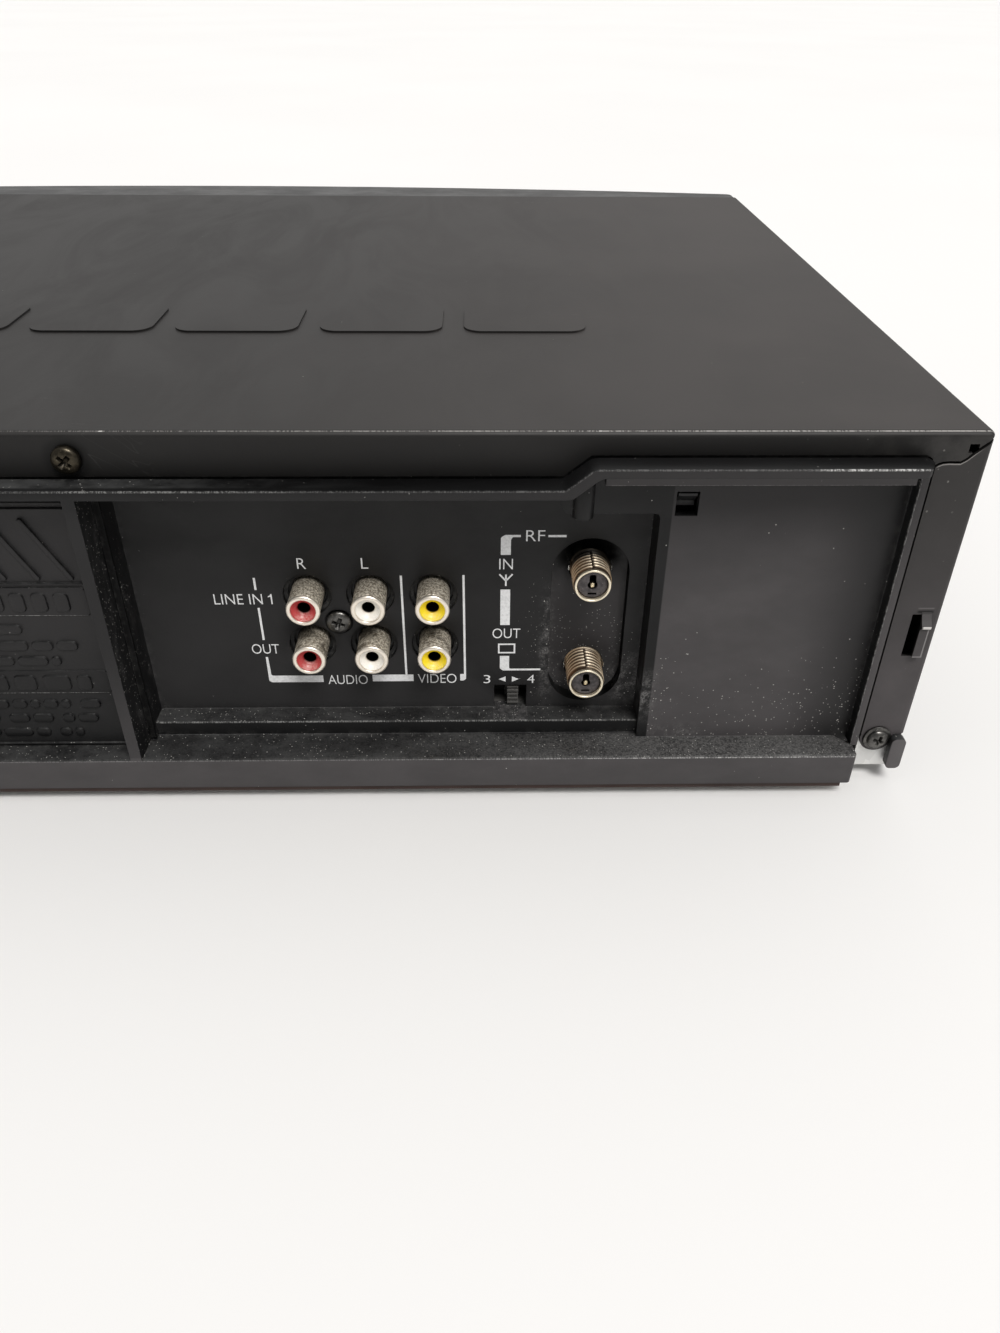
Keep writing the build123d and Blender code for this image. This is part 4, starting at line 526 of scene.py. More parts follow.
def plain_metal(name, colour, colour2, rough=(0.28, 0.45), metal=1.0, brushed=None, spots=None, grime=None, grime_share=0.5, rounding=0.0003):
    g = G(name, metal=metal)
    wide = g.noise(60.0, 5, 0.6)
    base = g.mix(g.smooth(wide, 0.35, 0.70), colour, colour2)
    r = g.lerp(g.smooth(g.noise(240.0, 4, 0.6), 0.3, 0.7), rough[0], rough[1])
    n = g.rounded(rounding)
    if brushed:
        streak = g.noise(700.0, 3, 0.6, vec=g.map(scale=brushed))
        base = g.mix(g.mul(g.smooth(streak, 0.4, 0.7), 0.35), base, tuple(c * 0.72 for c in colour))
        n = g.bump(streak, 0.12, 0.00005, n)
    if spots:
        cells = g.voronoi(spots).outputs["Color"]
        sep = g.nt.nodes.new("ShaderNodeSeparateColor")
        g.put(sep.inputs[0], cells)
        base = g.mix(g.mul(sep.outputs[0], 0.35), base, tuple(c * 0.70 for c in colour))
        r = g.lerp(sep.outputs[1], r, rough[1] + 0.1)
    if grime:
        dirt = g.smooth(g.noise(1500.0, 4, 0.7), 0.62 - 0.25 * grime_share, 0.72)
        base = g.mix(g.mul(dirt, 0.8), base, grime)
        r = g.lerp(dirt, r, 0.75)
        n = g.bump(dirt, 0.25, 0.00004, n)
    n = g.bump(g.noise(1200.0, 3, 0.6), 0.08, 0.00005, n)
    return g.set(base, r, n)


def nickel():
    """Dull speckled plating, bright where the lip is rubbed."""
    g = G("tarnished_nickel_m")
    x, y, z = g.xyz()
    lip = g.smooth(g.math("ABSOLUTE", y), 0.13600, 0.13625)
    fine = g.noise(1700.0, 3, 0.75)
    patch = g.noise(330.0, 4, 0.6)
    base = g.mix(g.smooth(fine, 0.40, 0.60), (0.27, 0.232, 0.182), (0.80, 0.745, 0.64))
    # lower row's shells darker in patches: painted shade of the upper row
    dark = g.mul(g.smooth(patch, 0.50, 0.66), g.math("SUBTRACT", 1.0, g.smooth(z, 0.042, 0.046)))
    base = g.mix(g.mul(dark, 0.75), base, (0.085, 0.070, 0.055))
    base = g.mix(g.mul(lip, 0.92), base, (0.94, 0.87, 0.77))
    r = g.lerp(g.smooth(fine, 0.4, 0.65), 0.62, 0.48)
    r = g.lerp(lip, r, 0.37)
    m = g.lerp(lip, 0.38, 0.85)
    n = g.bump(fine, 0.35, 0.00005)
    return g.set(base, r, n, m)


def insert(name, colour, deep):
    g = G(name, coat=0.12, coat_rough=0.2)
    x, y, z = g.xyz()
    depth = g.math("ABSOLUTE", y)
    # darker toward the back of the socket: painted shade inside it
    base = g.mix(g.smooth(depth, 0.1346, 0.1362), deep, colour)
    base = g.mix(g.mul(g.smooth(g.noise(700.0, 4, 0.6), 0.52, 0.75), 0.18), base, tuple(c * 0.62 for c in colour))
    nx, ny, nz = g.xyz(g.normal)
    # upward-facing parts paler in patches: painted light from above
    base = g.mix(g.mul(g.smooth(nz, 0.15, 0.85), g.smooth(g.noise(1500.0, 3, 0.6), 0.30, 0.60), 0.30), base, (0.80, 0.72, 0.66))
    # near-black deep in the hole: painted shade
    base = g.mix(g.math("SUBTRACT", 1.0, g.smooth(depth, 0.1346, 0.1352)), base, (0.0015, 0.0014, 0.0013))
    n = g.bump(g.noise(900.0, 2, 0.5), 0.06, 0.00006)
    return g.set(base, g.lerp(g.noise(500.0, 3, 0.5), 0.30, 0.48), n)


def brass():
    """Plated brass thread that has gone brown in its roots and is pale on its end ring; paler on top as painted light,
    and near-black at the upper barrel's rear end as painted shadow.
    """
    g = G("brass_thread_m")
    x, y, z = g.xyz()
    ring = g.smooth(y, 0.13475, 0.13495)
    fine = g.noise(2200.0, 4, 0.75)
    patch = g.noise(300.0, 4, 0.6)
    dx = g.math("ADD", x, 0.131)
    far = None
    for zc in (0.0584, 0.0296):
        dz = g.math("SUBTRACT", z, zc)
        d = g.math("SQRT", g.math("ADD", g.mul(dx, dx), g.mul(dz, dz)))
        far = d if far is None else g.math("MINIMUM", far, d)
    crest = g.smooth(far, 0.00438, 0.00464)
    base = g.mix(g.smooth(patch, 0.35, 0.68), (0.50, 0.37, 0.24), (0.74, 0.63, 0.48))
    nx, ny, nz = g.xyz(g.normal)
    # upward-facing faces paler: painted light from above
    base = g.mix(g.mul(g.smooth(nz, 0.35, 0.90), 0.65), base, (0.80, 0.75, 0.62))
    base = g.mix(g.mul(g.smooth(fine, 0.50, 0.66), 0.40), base, (0.22, 0.15, 0.09))
    base = g.mix(g.mul(g.math("SUBTRACT", 1.0, crest), g.math("SUBTRACT", 1.0, ring), 0.94), base, (0.045, 0.028, 0.017))
    base = g.mix(g.mul(g.smooth(dx, -0.0005, 0.0042), g.smooth(patch, 0.35, 0.60), 0.55), base, (0.26, 0.135, 0.060))
    # upper barrel's rear end near-black: painted shadow
    rear_end = g.mul(g.invert(g.smooth(y, 0.1276, 0.1294)), g.smooth(z, 0.0560, 0.0610))
    base = g.mix(g.mul(rear_end, 0.94), base, (0.006, 0.005, 0.004))
    base = g.mix(g.mul(ring, 0.92), base, (0.93, 0.85, 0.69))
    r = g.lerp(g.smooth(fine, 0.4, 0.7), 0.34, 0.52)
    r = g.lerp(ring, r, 0.36)
    m = g.lerp(ring, 0.50, 0.85)
    n = g.bump(fine, 0.20, 0.00004)
    return g.set(base, r, n, m)


def screw_metal(name, a, b):
    """Dark plated steel, bare along the edges of the recess."""
    g = G(name, metal=0.85)
    fine = g.noise(1500.0, 4, 0.7)
    base = g.mix(g.smooth(g.noise(420.0, 4, 0.6), 0.35, 0.68), a, b)
    base = g.mix(g.mul(g.smooth(fine, 0.55, 0.72), 0.6), base, tuple(c * 1.9 for c in b))
    edge = g.edge(0.00022, 0.05, 0.40)
    base = g.mix(g.mul(edge, g.smooth(g.noise(900.0, 3, 0.6), 0.40, 0.62), 0.85), base, (0.55, 0.52, 0.46))
    # painted shade: the cross recess and other hollows go near-black
    hollow = g.crease(0.0011, 0.40, 0.85)
    base = g.mix(g.mul(hollow, 0.93), base, (0.0025, 0.0022, 0.0020))
    r = g.lerp(g.smooth(fine, 0.4, 0.7), 0.30, 0.52)
    n = g.bump(fine, 0.22, 0.00004)
    return g.set(base, r, n)


def rubber(name, colour, grain=900.0):
    g = G(name, rough=0.75, spec=0.35)
    base = g.mix(g.smooth(g.noise(60.0, 4, 0.6), 0.3, 0.7), colour, tuple(c * 1.7 for c in colour))
    base = g.mix(g.mul(g.specks(700.0, 0.12, 0.06), 0.5), base, (0.25, 0.24, 0.22))
    n = g.bump(g.noise(grain, 3, 0.6), 0.30, 0.00012)
    return g.set(base, g.lerp(g.noise(90.0, 3, 0.5), 0.62, 0.86), n)


def board(name, colour, mask):
    g = G(name, rough=0.4, coat=0.25, coat_rough=0.25)
    tracks = g.voronoi(190.0, vec=g.map(rot=(0, 0, 0.78)), feature="F1", rand=0.9)
    lines = g.math("LESS_THAN", g.math("FRACT", g.math("MULTIPLY", tracks.outputs["Distance"], 4.0)), 0.22)
    base = g.mix(g.mul(lines, 0.5), colour, mask)
    base = g.mix(g.mul(g.smooth(g.noise(20.0, 3, 0.5), 0.4, 0.7), 0.3), base, tuple(c * 0.7 for c in colour))
    pads = g.specks(330.0, 0.22, 0.35)
    base = g.mix(g.mul(pads, 0.8), base, (0.55, 0.55, 0.52))
    n = g.bump(lines, 0.15, 0.00008)
    return g.set(base, g.lerp(pads, 0.42, 0.25), n)


def ink():
    g = G("white_ink_m", rough=0.55)
    worn = g.noise(1500.0, 4, 0.65)
    base = g.mix(g.smooth(worn, 0.30, 0.60), (0.66, 0.665, 0.67), (0.80, 0.805, 0.81))
    n = g.bump(worn, 0.10, 0.00003)
    return g.set(base, g.lerp(worn, 0.45, 0.65), n)


def glassy(name, colour, rough=0.08, alpha=None):
    g = G(name, rough=rough, coat=0.4, coat_rough=0.05, alpha=alpha)
    base = g.mix(g.smooth(g.noise(25.0, 3, 0.5), 0.3, 0.7), colour, tuple(c * 1.6 for c in colour))
    base = g.mix(g.mul(g.specks(500.0, 0.06, 0.08), 0.5), base, (0.3, 0.3, 0.3))
    r = g.lerp(g.smooth(g.noise(35.0, 5, 0.6), 0.4, 0.8), rough, rough + 0.12)
    n = g.bump(g.noise(30.0, 2, 0.5), 0.04, 0.0003)
    return g.set(base, r, n)


def satin(name, a, b, rough=(0.35, 0.55), grain=1500.0, strength=0.12, rounding=0.0003, specks=0.2):
    """Small moulded or painted parts."""
    g = G(name)
    base = g.mix(g.smooth(g.noise(45.0, 4, 0.6), 0.32, 0.70), a, b)
    base = g.mix(g.mul(g.specks(900.0, 0.12, 0.05), specks), base, (0.4, 0.39, 0.37))
    edge = g.edge(0.0004, 0.03, 0.3)
    base = g.mix(g.mul(edge, 0.35), base, tuple(min(1.0, c * 1.5 + 0.02) for c in b))
    r = g.lerp(g.smooth(g.noise(70.0, 4, 0.6), 0.3, 0.75), rough[0], rough[1])
    n = g.bump(g.noise(grain, 2, 0.5), strength, 0.00008, g.rounded(rounding))
    return g.set(base, r, n)


def insulator():
    """Grey disc, speckled, with the hollow of its slot and keyhole unlit."""
    g = G("insulator_m")
    x, y, z = g.xyz()
    base = g.mix(g.smooth(g.noise(900.0, 3, 0.7), 0.35, 0.65), (0.050, 0.045, 0.047), (0.105, 0.095, 0.097))
    base = g.mix(g.mul(g.specks(1500.0, 0.20, 0.12), 0.7), base, (0.45, 0.43, 0.40))
    base = g.mix(g.invert(g.smooth(y, 0.1336, 0.1346)), base, (0.0012, 0.0011, 0.0010))
    n = g.bump(g.noise(1500.0, 2, 0.5), 0.12, 0.00006)
    return g.set(base, g.lerp(g.noise(300.0, 3, 0.6), 0.48, 0.70), n)


MATS["cover_paint"] = cover_paint()
MATS["rear_plastic"] = moulded("rear_plastic_m", (0.0085, 0.0086, 0.0092), (0.0135, 0.0134, 0.0138), marks_and_light=rear_film_and_light, spec=0.40)
MATS["rail_plastic"] = moulded("rail_plastic_m", (0.016, 0.016, 0.017), (0.026, 0.026, 0.027), edge_amount=0.5, marks_and_light=rail_film)
MATS["front_plastic"] = moulded("front_plastic_m", (0.030, 0.030, 0.031), (0.040, 0.0395, 0.039), dust=0.12, rough=(0.30, 0.42), grain=2300.0, edge_amount=0.18, specks=0.35, grain_strength=0.10)
MATS["flap_plastic"] = moulded("flap_plastic_m", (0.026, 0.026, 0.027), (0.034, 0.034, 0.034), dust=0.10, rough=(0.28, 0.40), grain=2300.0, edge_amount=0.2, specks=0.3, grain_strength=0.08)
MATS["key_plastic"] = satin("key_plastic_m", (0.055, 0.055, 0.057), (0.072, 0.072, 0.074), rough=(0.30, 0.45))
MATS["jack_plastic"] = satin("jack_plastic_m", (0.016, 0.016, 0.016), (0.026, 0.026, 0.026))
MATS["switch_plastic"] = satin("switch_plastic_m", (0.055, 0.053, 0.051), (0.150, 0.146, 0.140), rough=(0.5, 0.8), specks=0.9)
MATS["insulator"] = insulator()
MATS["white_acetal"] = satin("white_acetal_m", (0.62, 0.61, 0.58), (0.74, 0.73, 0.70), rough=(0.30, 0.45))
MATS["grey_acetal"] = satin("grey_acetal_m", (0.20, 0.20, 0.21), (0.28, 0.28, 0.29), rough=(0.30, 0.45))
MATS["ribbon"] = satin("ribbon_m", (0.34, 0.34, 0.36), (0.46, 0.46, 0.48), rough=(0.35, 0.5))
MATS["capacitor_sleeve"] = satin("capacitor_sleeve_m", (0.020, 0.024, 0.050), (0.035, 0.042, 0.085), rough=(0.25, 0.4))
# dark brown pan edge, also standing in for the shadow under the rear ledge
MATS["pan_edge"] = satin("pan_edge_and_shadow_m", (0.030, 0.014, 0.011), (0.050, 0.026, 0.020), rough=(0.4, 0.6))
MATS["core"] = satin("core_m", (0.055, 0.045, 0.035), (0.10, 0.085, 0.060), rough=(0.4, 0.7))
MATS["foot_rubber"] = rubber("foot_rubber_m", (0.018, 0.018, 0.018))
MATS["roller_rubber"] = rubber("roller_rubber_m", (0.022, 0.021, 0.020))
MATS["galvanised"] = plain_metal("galvanised_m", (0.78, 0.78, 0.77), (0.88, 0.88, 0.86), rough=(0.34, 0.50), metal=0.72, spots=260.0)
MATS["tinplate"] = plain_metal("tinplate_m", (0.66, 0.65, 0.62), (0.76, 0.75, 0.72), rough=(0.22, 0.38))
MATS["deck_steel"] = plain_metal("deck_steel_m", (0.55, 0.55, 0.53), (0.66, 0.66, 0.64), rough=(0.32, 0.46), brushed=(1.0, 0.03, 1.0))
MATS["steel"] = plain_metal("steel_m", (0.58, 0.57, 0.56), (0.70, 0.69, 0.68), rough=(0.15, 0.30))
MATS["head_metal"] = plain_metal("head_metal_m", (0.66, 0.66, 0.67), (0.76, 0.76, 0.77), rough=(0.14, 0.26), brushed=(0.05, 0.05, 1.0))
MATS["aluminium"] = plain_metal("aluminium_m", (0.68, 0.68, 0.69), (0.78, 0.78, 0.79), rough=(0.25, 0.4), brushed=(1.0, 1.0, 0.04))
MATS["black_aluminium"] = plain_metal("black_aluminium_m", (0.035, 0.035, 0.037), (0.055, 0.055, 0.058), rough=(0.35, 0.5), metal=0.6, brushed=(1.0, 1.0, 0.05))
MATS["contact_brass"] = plain_metal("contact_brass_m", (0.78, 0.66, 0.44), (0.90, 0.80, 0.60), rough=(0.2, 0.4))
MATS["bronze_screw"] = screw_metal("bronze_screw_m", (0.050, 0.044, 0.034), (0.095, 0.082, 0.060))
MATS["black_screw"] = screw_metal("black_screw_m", (0.090, 0.088, 0.085), (0.190, 0.185, 0.176))
MATS["tarnished_nickel"] = nickel()
MATS["brass_thread"] = brass()
MATS["insert_red"] = insert("insert_red_m", (0.50, 0.075, 0.075), (0.22, 0.018, 0.020))
MATS["insert_white"] = insert("insert_white_m", (0.88, 0.85, 0.79), (0.72, 0.67, 0.58))
MATS["insert_yellow"] = insert("insert_yellow_m", (0.90, 0.72, 0.030), (0.72, 0.50, 0.010))
MATS["board"] = board("board_m", (0.24, 0.15, 0.07), (0.30, 0.20, 0.10))
MATS["green_board"] = board("green_board_m", (0.02, 0.10, 0.045), (0.035, 0.16, 0.07))
MATS["smoked_acrylic"] = glassy("smoked_acrylic_m", (0.008, 0.008, 0.009), alpha=0.62)
MATS["tube_glass"] = glassy("tube_glass_m", (0.020, 0.030, 0.032))
MATS["white_ink"] = ink()
MATS["red_ink"] = satin("red_ink_m", (0.36, 0.025, 0.022), (0.46, 0.040, 0.034), rough=(0.4, 0.6), specks=0.1)
MATS["phosphor"] = satin("phosphor_m", (0.42, 0.50, 0.46), (0.54, 0.62, 0.57), rough=(0.6, 0.8), specks=0.1)

slot_of = {}
for entry in frame["record"].get("materials", []):
    for n in entry.get("nodes", []):
        slot_of[n] = entry["slot"]
for name, obj in NODES.items():
    current = obj.material_slots[0].material.name.split(".")[0] if obj.material_slots else None
    key = slot_of.get(name) or current
    obj.material_slots[0].material = MATS[key]


# --------------------------------------------------------- piece helpers
def link(obj, mat, body="housing", replaces=()):
    SCENE.collection.objects.link(obj)
    obj.data.materials.clear()
    obj.data.materials.append(MATS[mat])
    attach(obj, body)
    if replaces:
        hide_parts(*replaces)
    return obj


def finish_mesh(mesh, angle=32.0):
    mesh.polygons.foreach_set("use_smooth", [True] * len(mesh.polygons))
    mesh.set_sharp_from_angle(angle=math.radians(angle))
    mesh.update()
    return mesh


def lathe(name, profile, x, z, segs=64, sign=1, angle=32.0, warp=None):
    """Closed profile of (radius, y) in mm turned about the Y axis through (x, z)."""
    bm = bmesh.new()
    rings = []
    for r, y in profile:
        ring = []
        if r < 1e-6:
            ring = [bm.verts.new((x * MM, y * MM, z * MM))] * segs
        else:
            for i in range(segs):
                a = 2 * math.pi * i / segs
                rr = r if warp is None else warp(r, y, a)
                ring.append(bm.verts.new(((x + rr * math.cos(a)) * MM, y * MM, (z + rr * math.sin(a)) * MM)))
        rings.append(ring)
    for k in range(len(rings)):
        r0, r1 = rings[k], rings[(k + 1) % len(rings)]
        if k == len(rings) - 1 and r0[0] is r0[1] and r1[0] is r1[1]:
            continue
        for i in range(segs):
            j = (i + 1) % segs
            vs = []
            for v in (r0[i], r0[j], r1[j], r1[i]):
                if v not in vs:
                    vs.append(v)
            if len(vs) > 2:
                bm.faces.new(vs)
    bmesh.ops.recalc_face_normals(bm, faces=bm.faces)
    mesh = bpy.data.meshes.new(name)
    bm.to_mesh(mesh)
    bm.free()
    return bpy.data.objects.new(name, finish_mesh(mesh, angle))


def prism(points, axis, lo, hi):
    """bmesh prism: points are 2-D in the plane across axis, in mm."""
    bm = bmesh.new()

    def at(p, t):
        return {"x": (t, p[0], p[1]), "y": (p[0], t, p[1]), "z": (p[0], p[1], t)}[axis]

    low = [bm.verts.new([c * MM for c in at(p, lo)]) for p in points]
    high = [bm.verts.new([c * MM for c in at(p, hi)]) for p in points]
    bm.faces.new(low)
    bm.faces.new(high)
    n = len(points)
    for i in range(n):
        bm.faces.new((low[i], low[(i + 1) % n], high[(i + 1) % n], high[i]))
    bmesh.ops.recalc_face_normals(bm, faces=bm.faces)
    return bm


def rect(a0, a1, b0, b1):
    return [(a0, b0), (a1, b0), (a1, b1), (a0, b1)]


def circle(cx, cy, r, n=48, phase=0.0):
    return [(cx + r * math.cos(phase + 2 * math.pi * i / n), cy + r * math.sin(phase + 2 * math.pi * i / n)) for i in range(n)]


def slot_shape(cx, cy, length, width, n=24, upright=True):
    r, h = width / 2, (length - width) / 2
    pts = []
    for i in range(n + 1):
        a = math.pi * i / n
        pts.append((cx + r * math.cos(a), cy + h + r * math.sin(a)))
    for i in range(n + 1):
        a = math.pi + math.pi * i / n
        pts.append((cx + r * math.cos(a), cy - h + r * math.sin(a)))
    if not upright:
        pts = [(cx + (q - cy), cy + (p - cx)) for p, q in pts]
    return pts


def round_poly(points, radii, n=6):
    """Rounds the corners of a 2-D polygon."""
    out = []
    m = len(points)
    for i, p in enumerate(points):
        r = radii[i] if isinstance(radii, (list, tuple)) else radii
        a, b = Vector(points[i - 1]), Vector(points[(i + 1) % m])
        v = Vector(p)
        if r <= 0:
            out.append(tuple(v))
            continue
        d0, d1 = (a - v).normalized(), (b - v).normalized()
        ang = d0.angle(d1)
        if ang > math.pi - 1e-3:
            out.append(tuple(v))
            continue
        t = r / math.tan(ang / 2)
        t = min(t, (a - v).length * 0.49, (b - v).length * 0.49)
        rr = t * math.tan(ang / 2)
        centre = v + (d0 + d1).normalized() * (rr / math.sin(ang / 2))
        s, e = v + d0 * t - centre, v + d1 * t - centre
        turn = s.angle_signed(e)
        for k in range(n + 1):
            w = -turn * k / n
            out.append((centre.x + s.x * math.cos(w) - s.y * math.sin(w), centre.y + s.x * math.sin(w) + s.y * math.cos(w)))
    return out


class Solid:
    """A mesh made by adding and cutting prisms."""

    def __init__(self, name):
        self.name = name
        self.obj = None

    def _temp(self, bm):
        mesh = bpy.data.meshes.new("tmp")
        bm.to_mesh(mesh)
        bm.free()
        return bpy.data.objects.new("tmp", mesh)

    def _do(self, bm, op):
        other = self._temp(bm)
        if self.obj is None:
            self.obj = other
            SCENE.collection.objects.link(self.obj)
            return self
        SCENE.collection.objects.link(other)
        m = self.obj.modifiers.new("b", "BOOLEAN")
        m.operation = op
        m.solver = "EXACT"
        m.object = other
        dg = bpy.context.evaluated_depsgraph_get()
        mesh = bpy.data.meshes.new_from_object(self.obj.evaluated_get(dg))
        self.obj.modifiers.clear()
        old = self.obj.data
        self.obj.data = mesh
        bpy.data.meshes.remove(old)
        data = other.data
        bpy.data.objects.remove(other)
        bpy.data.meshes.remove(data)
        return self

    def add(self, bm):
        return self._do(bm, "UNION")

    def cut(self, bm):
        return self._do(bm, "DIFFERENCE")

    def block(self, x0, x1, y0, y1, z0, z1, op="add"):
        bm = prism(rect(min(x0, x1), max(x0, x1), min(y0, y1), max(y0, y1)), "z", z0, z1)
        return self.add(bm) if op == "add" else self.cut(bm)

    def done(self, bevel=0.3, angle=35.0, segments=2, dissolve=0.6):
        bm = bmesh.new()
        bm.from_mesh(self.obj.data)
        bmesh.ops.remove_doubles(bm, verts=bm.verts, dist=2e-7)
        bmesh.ops.dissolve_limit(bm, angle_limit=math.radians(dissolve), verts=bm.verts, edges=bm.edges)
        bad = [e for e in bm.edges if len(e.link_faces) != 2]
        print("CSG", self.name, "verts", len(bm.verts), "open edges", len(bad))
        name = self.name
        mesh = bpy.data.meshes.new(name)
        if bevel:
            edges = [e for e in bm.edges if len(e.link_faces) == 2 and e.calc_face_angle(0.0) > math.radians(angle)]
            bmesh.ops.bevel(bm, geom=edges, offset=bevel * MM, offset_type="OFFSET", segments=segments, profile=0.5, affect="EDGES", clamp_overlap=True, loop_slide=True)
        bmesh.ops.triangulate(bm, faces=[f for f in bm.faces if len(f.verts) > 4])
        bm.to_mesh(mesh)
        bm.free()
        old = self.obj
        bpy.data.objects.remove(old)
        return bpy.data.objects.new(name, finish_mesh(mesh, 50.0))


# -------------------------------------------------------------- rear panel
REAR_TIP, FACE, RECESS_Y, POCKET_Y = 146.0, 137.5, 129.5, 126.0
JACK_X, JACK_Z = (-62.0, -77.4, -92.8), (52.5, 38.1)
F_X, F_Z = -131.0, (58.4, 29.6)


def rear_panel():
    s = Solid("rear_panel_shell")
    s.block(-203.2, 203.2, FACE - 2.5, FACE, 12.0, 92.5)
    s.block(-147.3, -17.5, RECESS_Y - 2.5, FACE - 0.2, 11.0, 88.2)
    s.block(-143.0, -119.0, POCKET_Y - 2.5, RECESS_Y - 1, 16.0, 71.0)
    recess = round_poly([(-144.8, 11.8), (-144.8, 78.3), (-123.4, 78.3), (-121.6, 82.0), (-121.6, 85.7), (-20.3, 85.7), (-20.3, 11.8)],
                        [0, 1.2, 1.2, 1.5, 0.5, 0.5, 0])
    s.cut(prism(recess, "y", RECESS_Y, FACE + 2))
    s.block(-144.9, -20.2, RECESS_Y - 0.5, 135.5, 11.5, 18.0)
    ledge = round_poly([(-200.5, REAR_TIP), (-200.5, 141.5), (-197.0, 138.0), (-197.0, 127.5),
                        (197.0, 127.5), (197.0, 138.0), (200.5, 141.5), (200.5, REAR_TIP)], [1.0, 1.0, 0.6, 0, 0, 0.6, 1.0, 1.0], 4)
    s.add(prism(ledge, "z", 5.0, 14.0))
    s.block(-194.0, 194.0, 126.0, 143.5, 4.0, 11.4, "cut")
    eave_top = [(-202.9, 90.9), (-202.2, 91.9), (-200.8, 92.6), (-128.5, 92.6), (-122.5, 87.8), (122.5, 87.8), (128.5, 92.6), (200.8, 92.6), (202.2, 91.9), (202.9, 90.9)]
    eave_low = [(202.9, 90.6), (129.9, 90.6), (123.9, 85.7), (-123.9, 85.7), (-129.9, 90.6), (-202.9, 90.6)]
    eave = round_poly(eave_top + eave_low, [0, 0.8, 1.0, 4.0, 3.0, 3.0, 4.0, 1.0, 0.8, 0, 0, 3.5, 3.5, 3.5, 3.5, 0], 6)
    s.add(prism(eave, "y", FACE - 0.6, REAR_TIP))
    # shadow gap between the hood and the cover's edge
    line = [(-205.0, 92.6)] + eave_top[3:7] + [(205.0, 92.6)]
    gap = [(px, pz + 2.0) for px, pz in line] + [(px, pz - 1.1) for px, pz in reversed(line)]
    s.cut(prism(gap, "y", FACE + 0.1, FACE + 2.0))
    # the eave narrows toward its tip, with softened corners
    for sg in (-1, 1):
        s.cut(prism([(sg * 204.5, REAR_TIP + 1), (sg * 199.0, REAR_TIP + 1), (sg * 199.0, REAR_TIP), (sg * 199.45, REAR_TIP - 0.12), (sg * 199.82, REAR_TIP - 0.45),
                     (sg * 200.05, REAR_TIP - 0.9), (sg * 203.3, FACE + 1.0), (sg * 204.5, FACE + 1.0)], "z", 80.0, 99.0))
        s.cut(prism([(sg * 198.6, 90.2), (sg * 199.3, 90.75), (sg * 199.75, 91.1), (sg * 200.0, 91.7), (sg * 200.3, 92.0), (sg * 201.5, 92.0), (sg * 201.5, 90.2)], "y", 145.2, 147.0))
    for sg in (-1, 1):
        s.block(sg * 131.5, sg * 199.0, FACE - 1, 141.5, 87.0, 91.4)
        s.block(sg * 200.1, sg * 201.9, FACE - 1, 141.0, 13.5, 91.4)
        s.block(sg * 148.0, sg * 153.1, FACE - 4, FACE + 1, 77.8, 83.7, "cut")
    s.add(prism(circle(-127.35, FACE - 0.4, 2.45, 32), "z", 77.6, 86.4))
    for x0, x1 in ((-18.8, -16.0), (46.0, 48.8)):
        s.block(x0, x1, RECESS_Y - 1, REAR_TIP, 12.5, 86.4)
    s.block(-20.3, -18.7, RECESS_Y - 1, FACE, 12.5, 86.4)
    s.block(-16.1, 46.1, FACE - 2, 139.6, 12.5, 86.4)
    s.block(-145.5, -124.5, 120.0, 134.5, 80.0, 87.0, "cut")
    s.cut(prism(circle(-16.4, 92.0, 4.8, 40), "y", 120.0, FACE + 0.1))
    s.cut(prism(slot_shape(F_X, 44.0, 47.9, 18.8, 28), "y", POCKET_Y, RECESS_Y + 1))
    for z in F_Z:
        s.cut(prism(circle(F_X, z, 5.1, 40), "y", 120.0, 130.0))
    for x in JACK_X:
        for z in JACK_Z:
            s.cut(prism(circle(x, z, 4.8, 48), "y", 120.0, 131.0))
            s.cut(prism(circle(x, z, 5.85, 48), "y", RECESS_Y - 1.3, 131.0))
    s.cut(prism(circle(-69.1, 44.9, 1.6, 24), "y", 120.0, 131.0))
    s.cut(prism(circle(-69.1, 44.9, 3.45, 40), "y", RECESS_Y - 0.4, 131.0))
    s.block(-116.2, -107.8, 120.0, RECESS_Y + 3, 18.0, 25.1, "cut")
    s.block(148.5, 171.5, 130.0, 140.0, 24.5, 41.5, "cut")
    s.cut(prism(circle(100.0, 24.0, 1.6, 24), "y", 130.0, 140.0))
    s.cut(prism(circle(186.0, 70.0, 1.6, 24), "y", 130.0, 140.0))
    for i in range(10):
        s.cut(prism(slot_shape(125.0 + (i - 4.5) * 7.0, 62.0, 22.0, 2.6, 10), "y", 130.0, 140.0))
    obj = s.done(bevel=0.28, segments=2)
    return link(obj, "rear_plastic", replaces=("rear_panel",))


rear_panel()


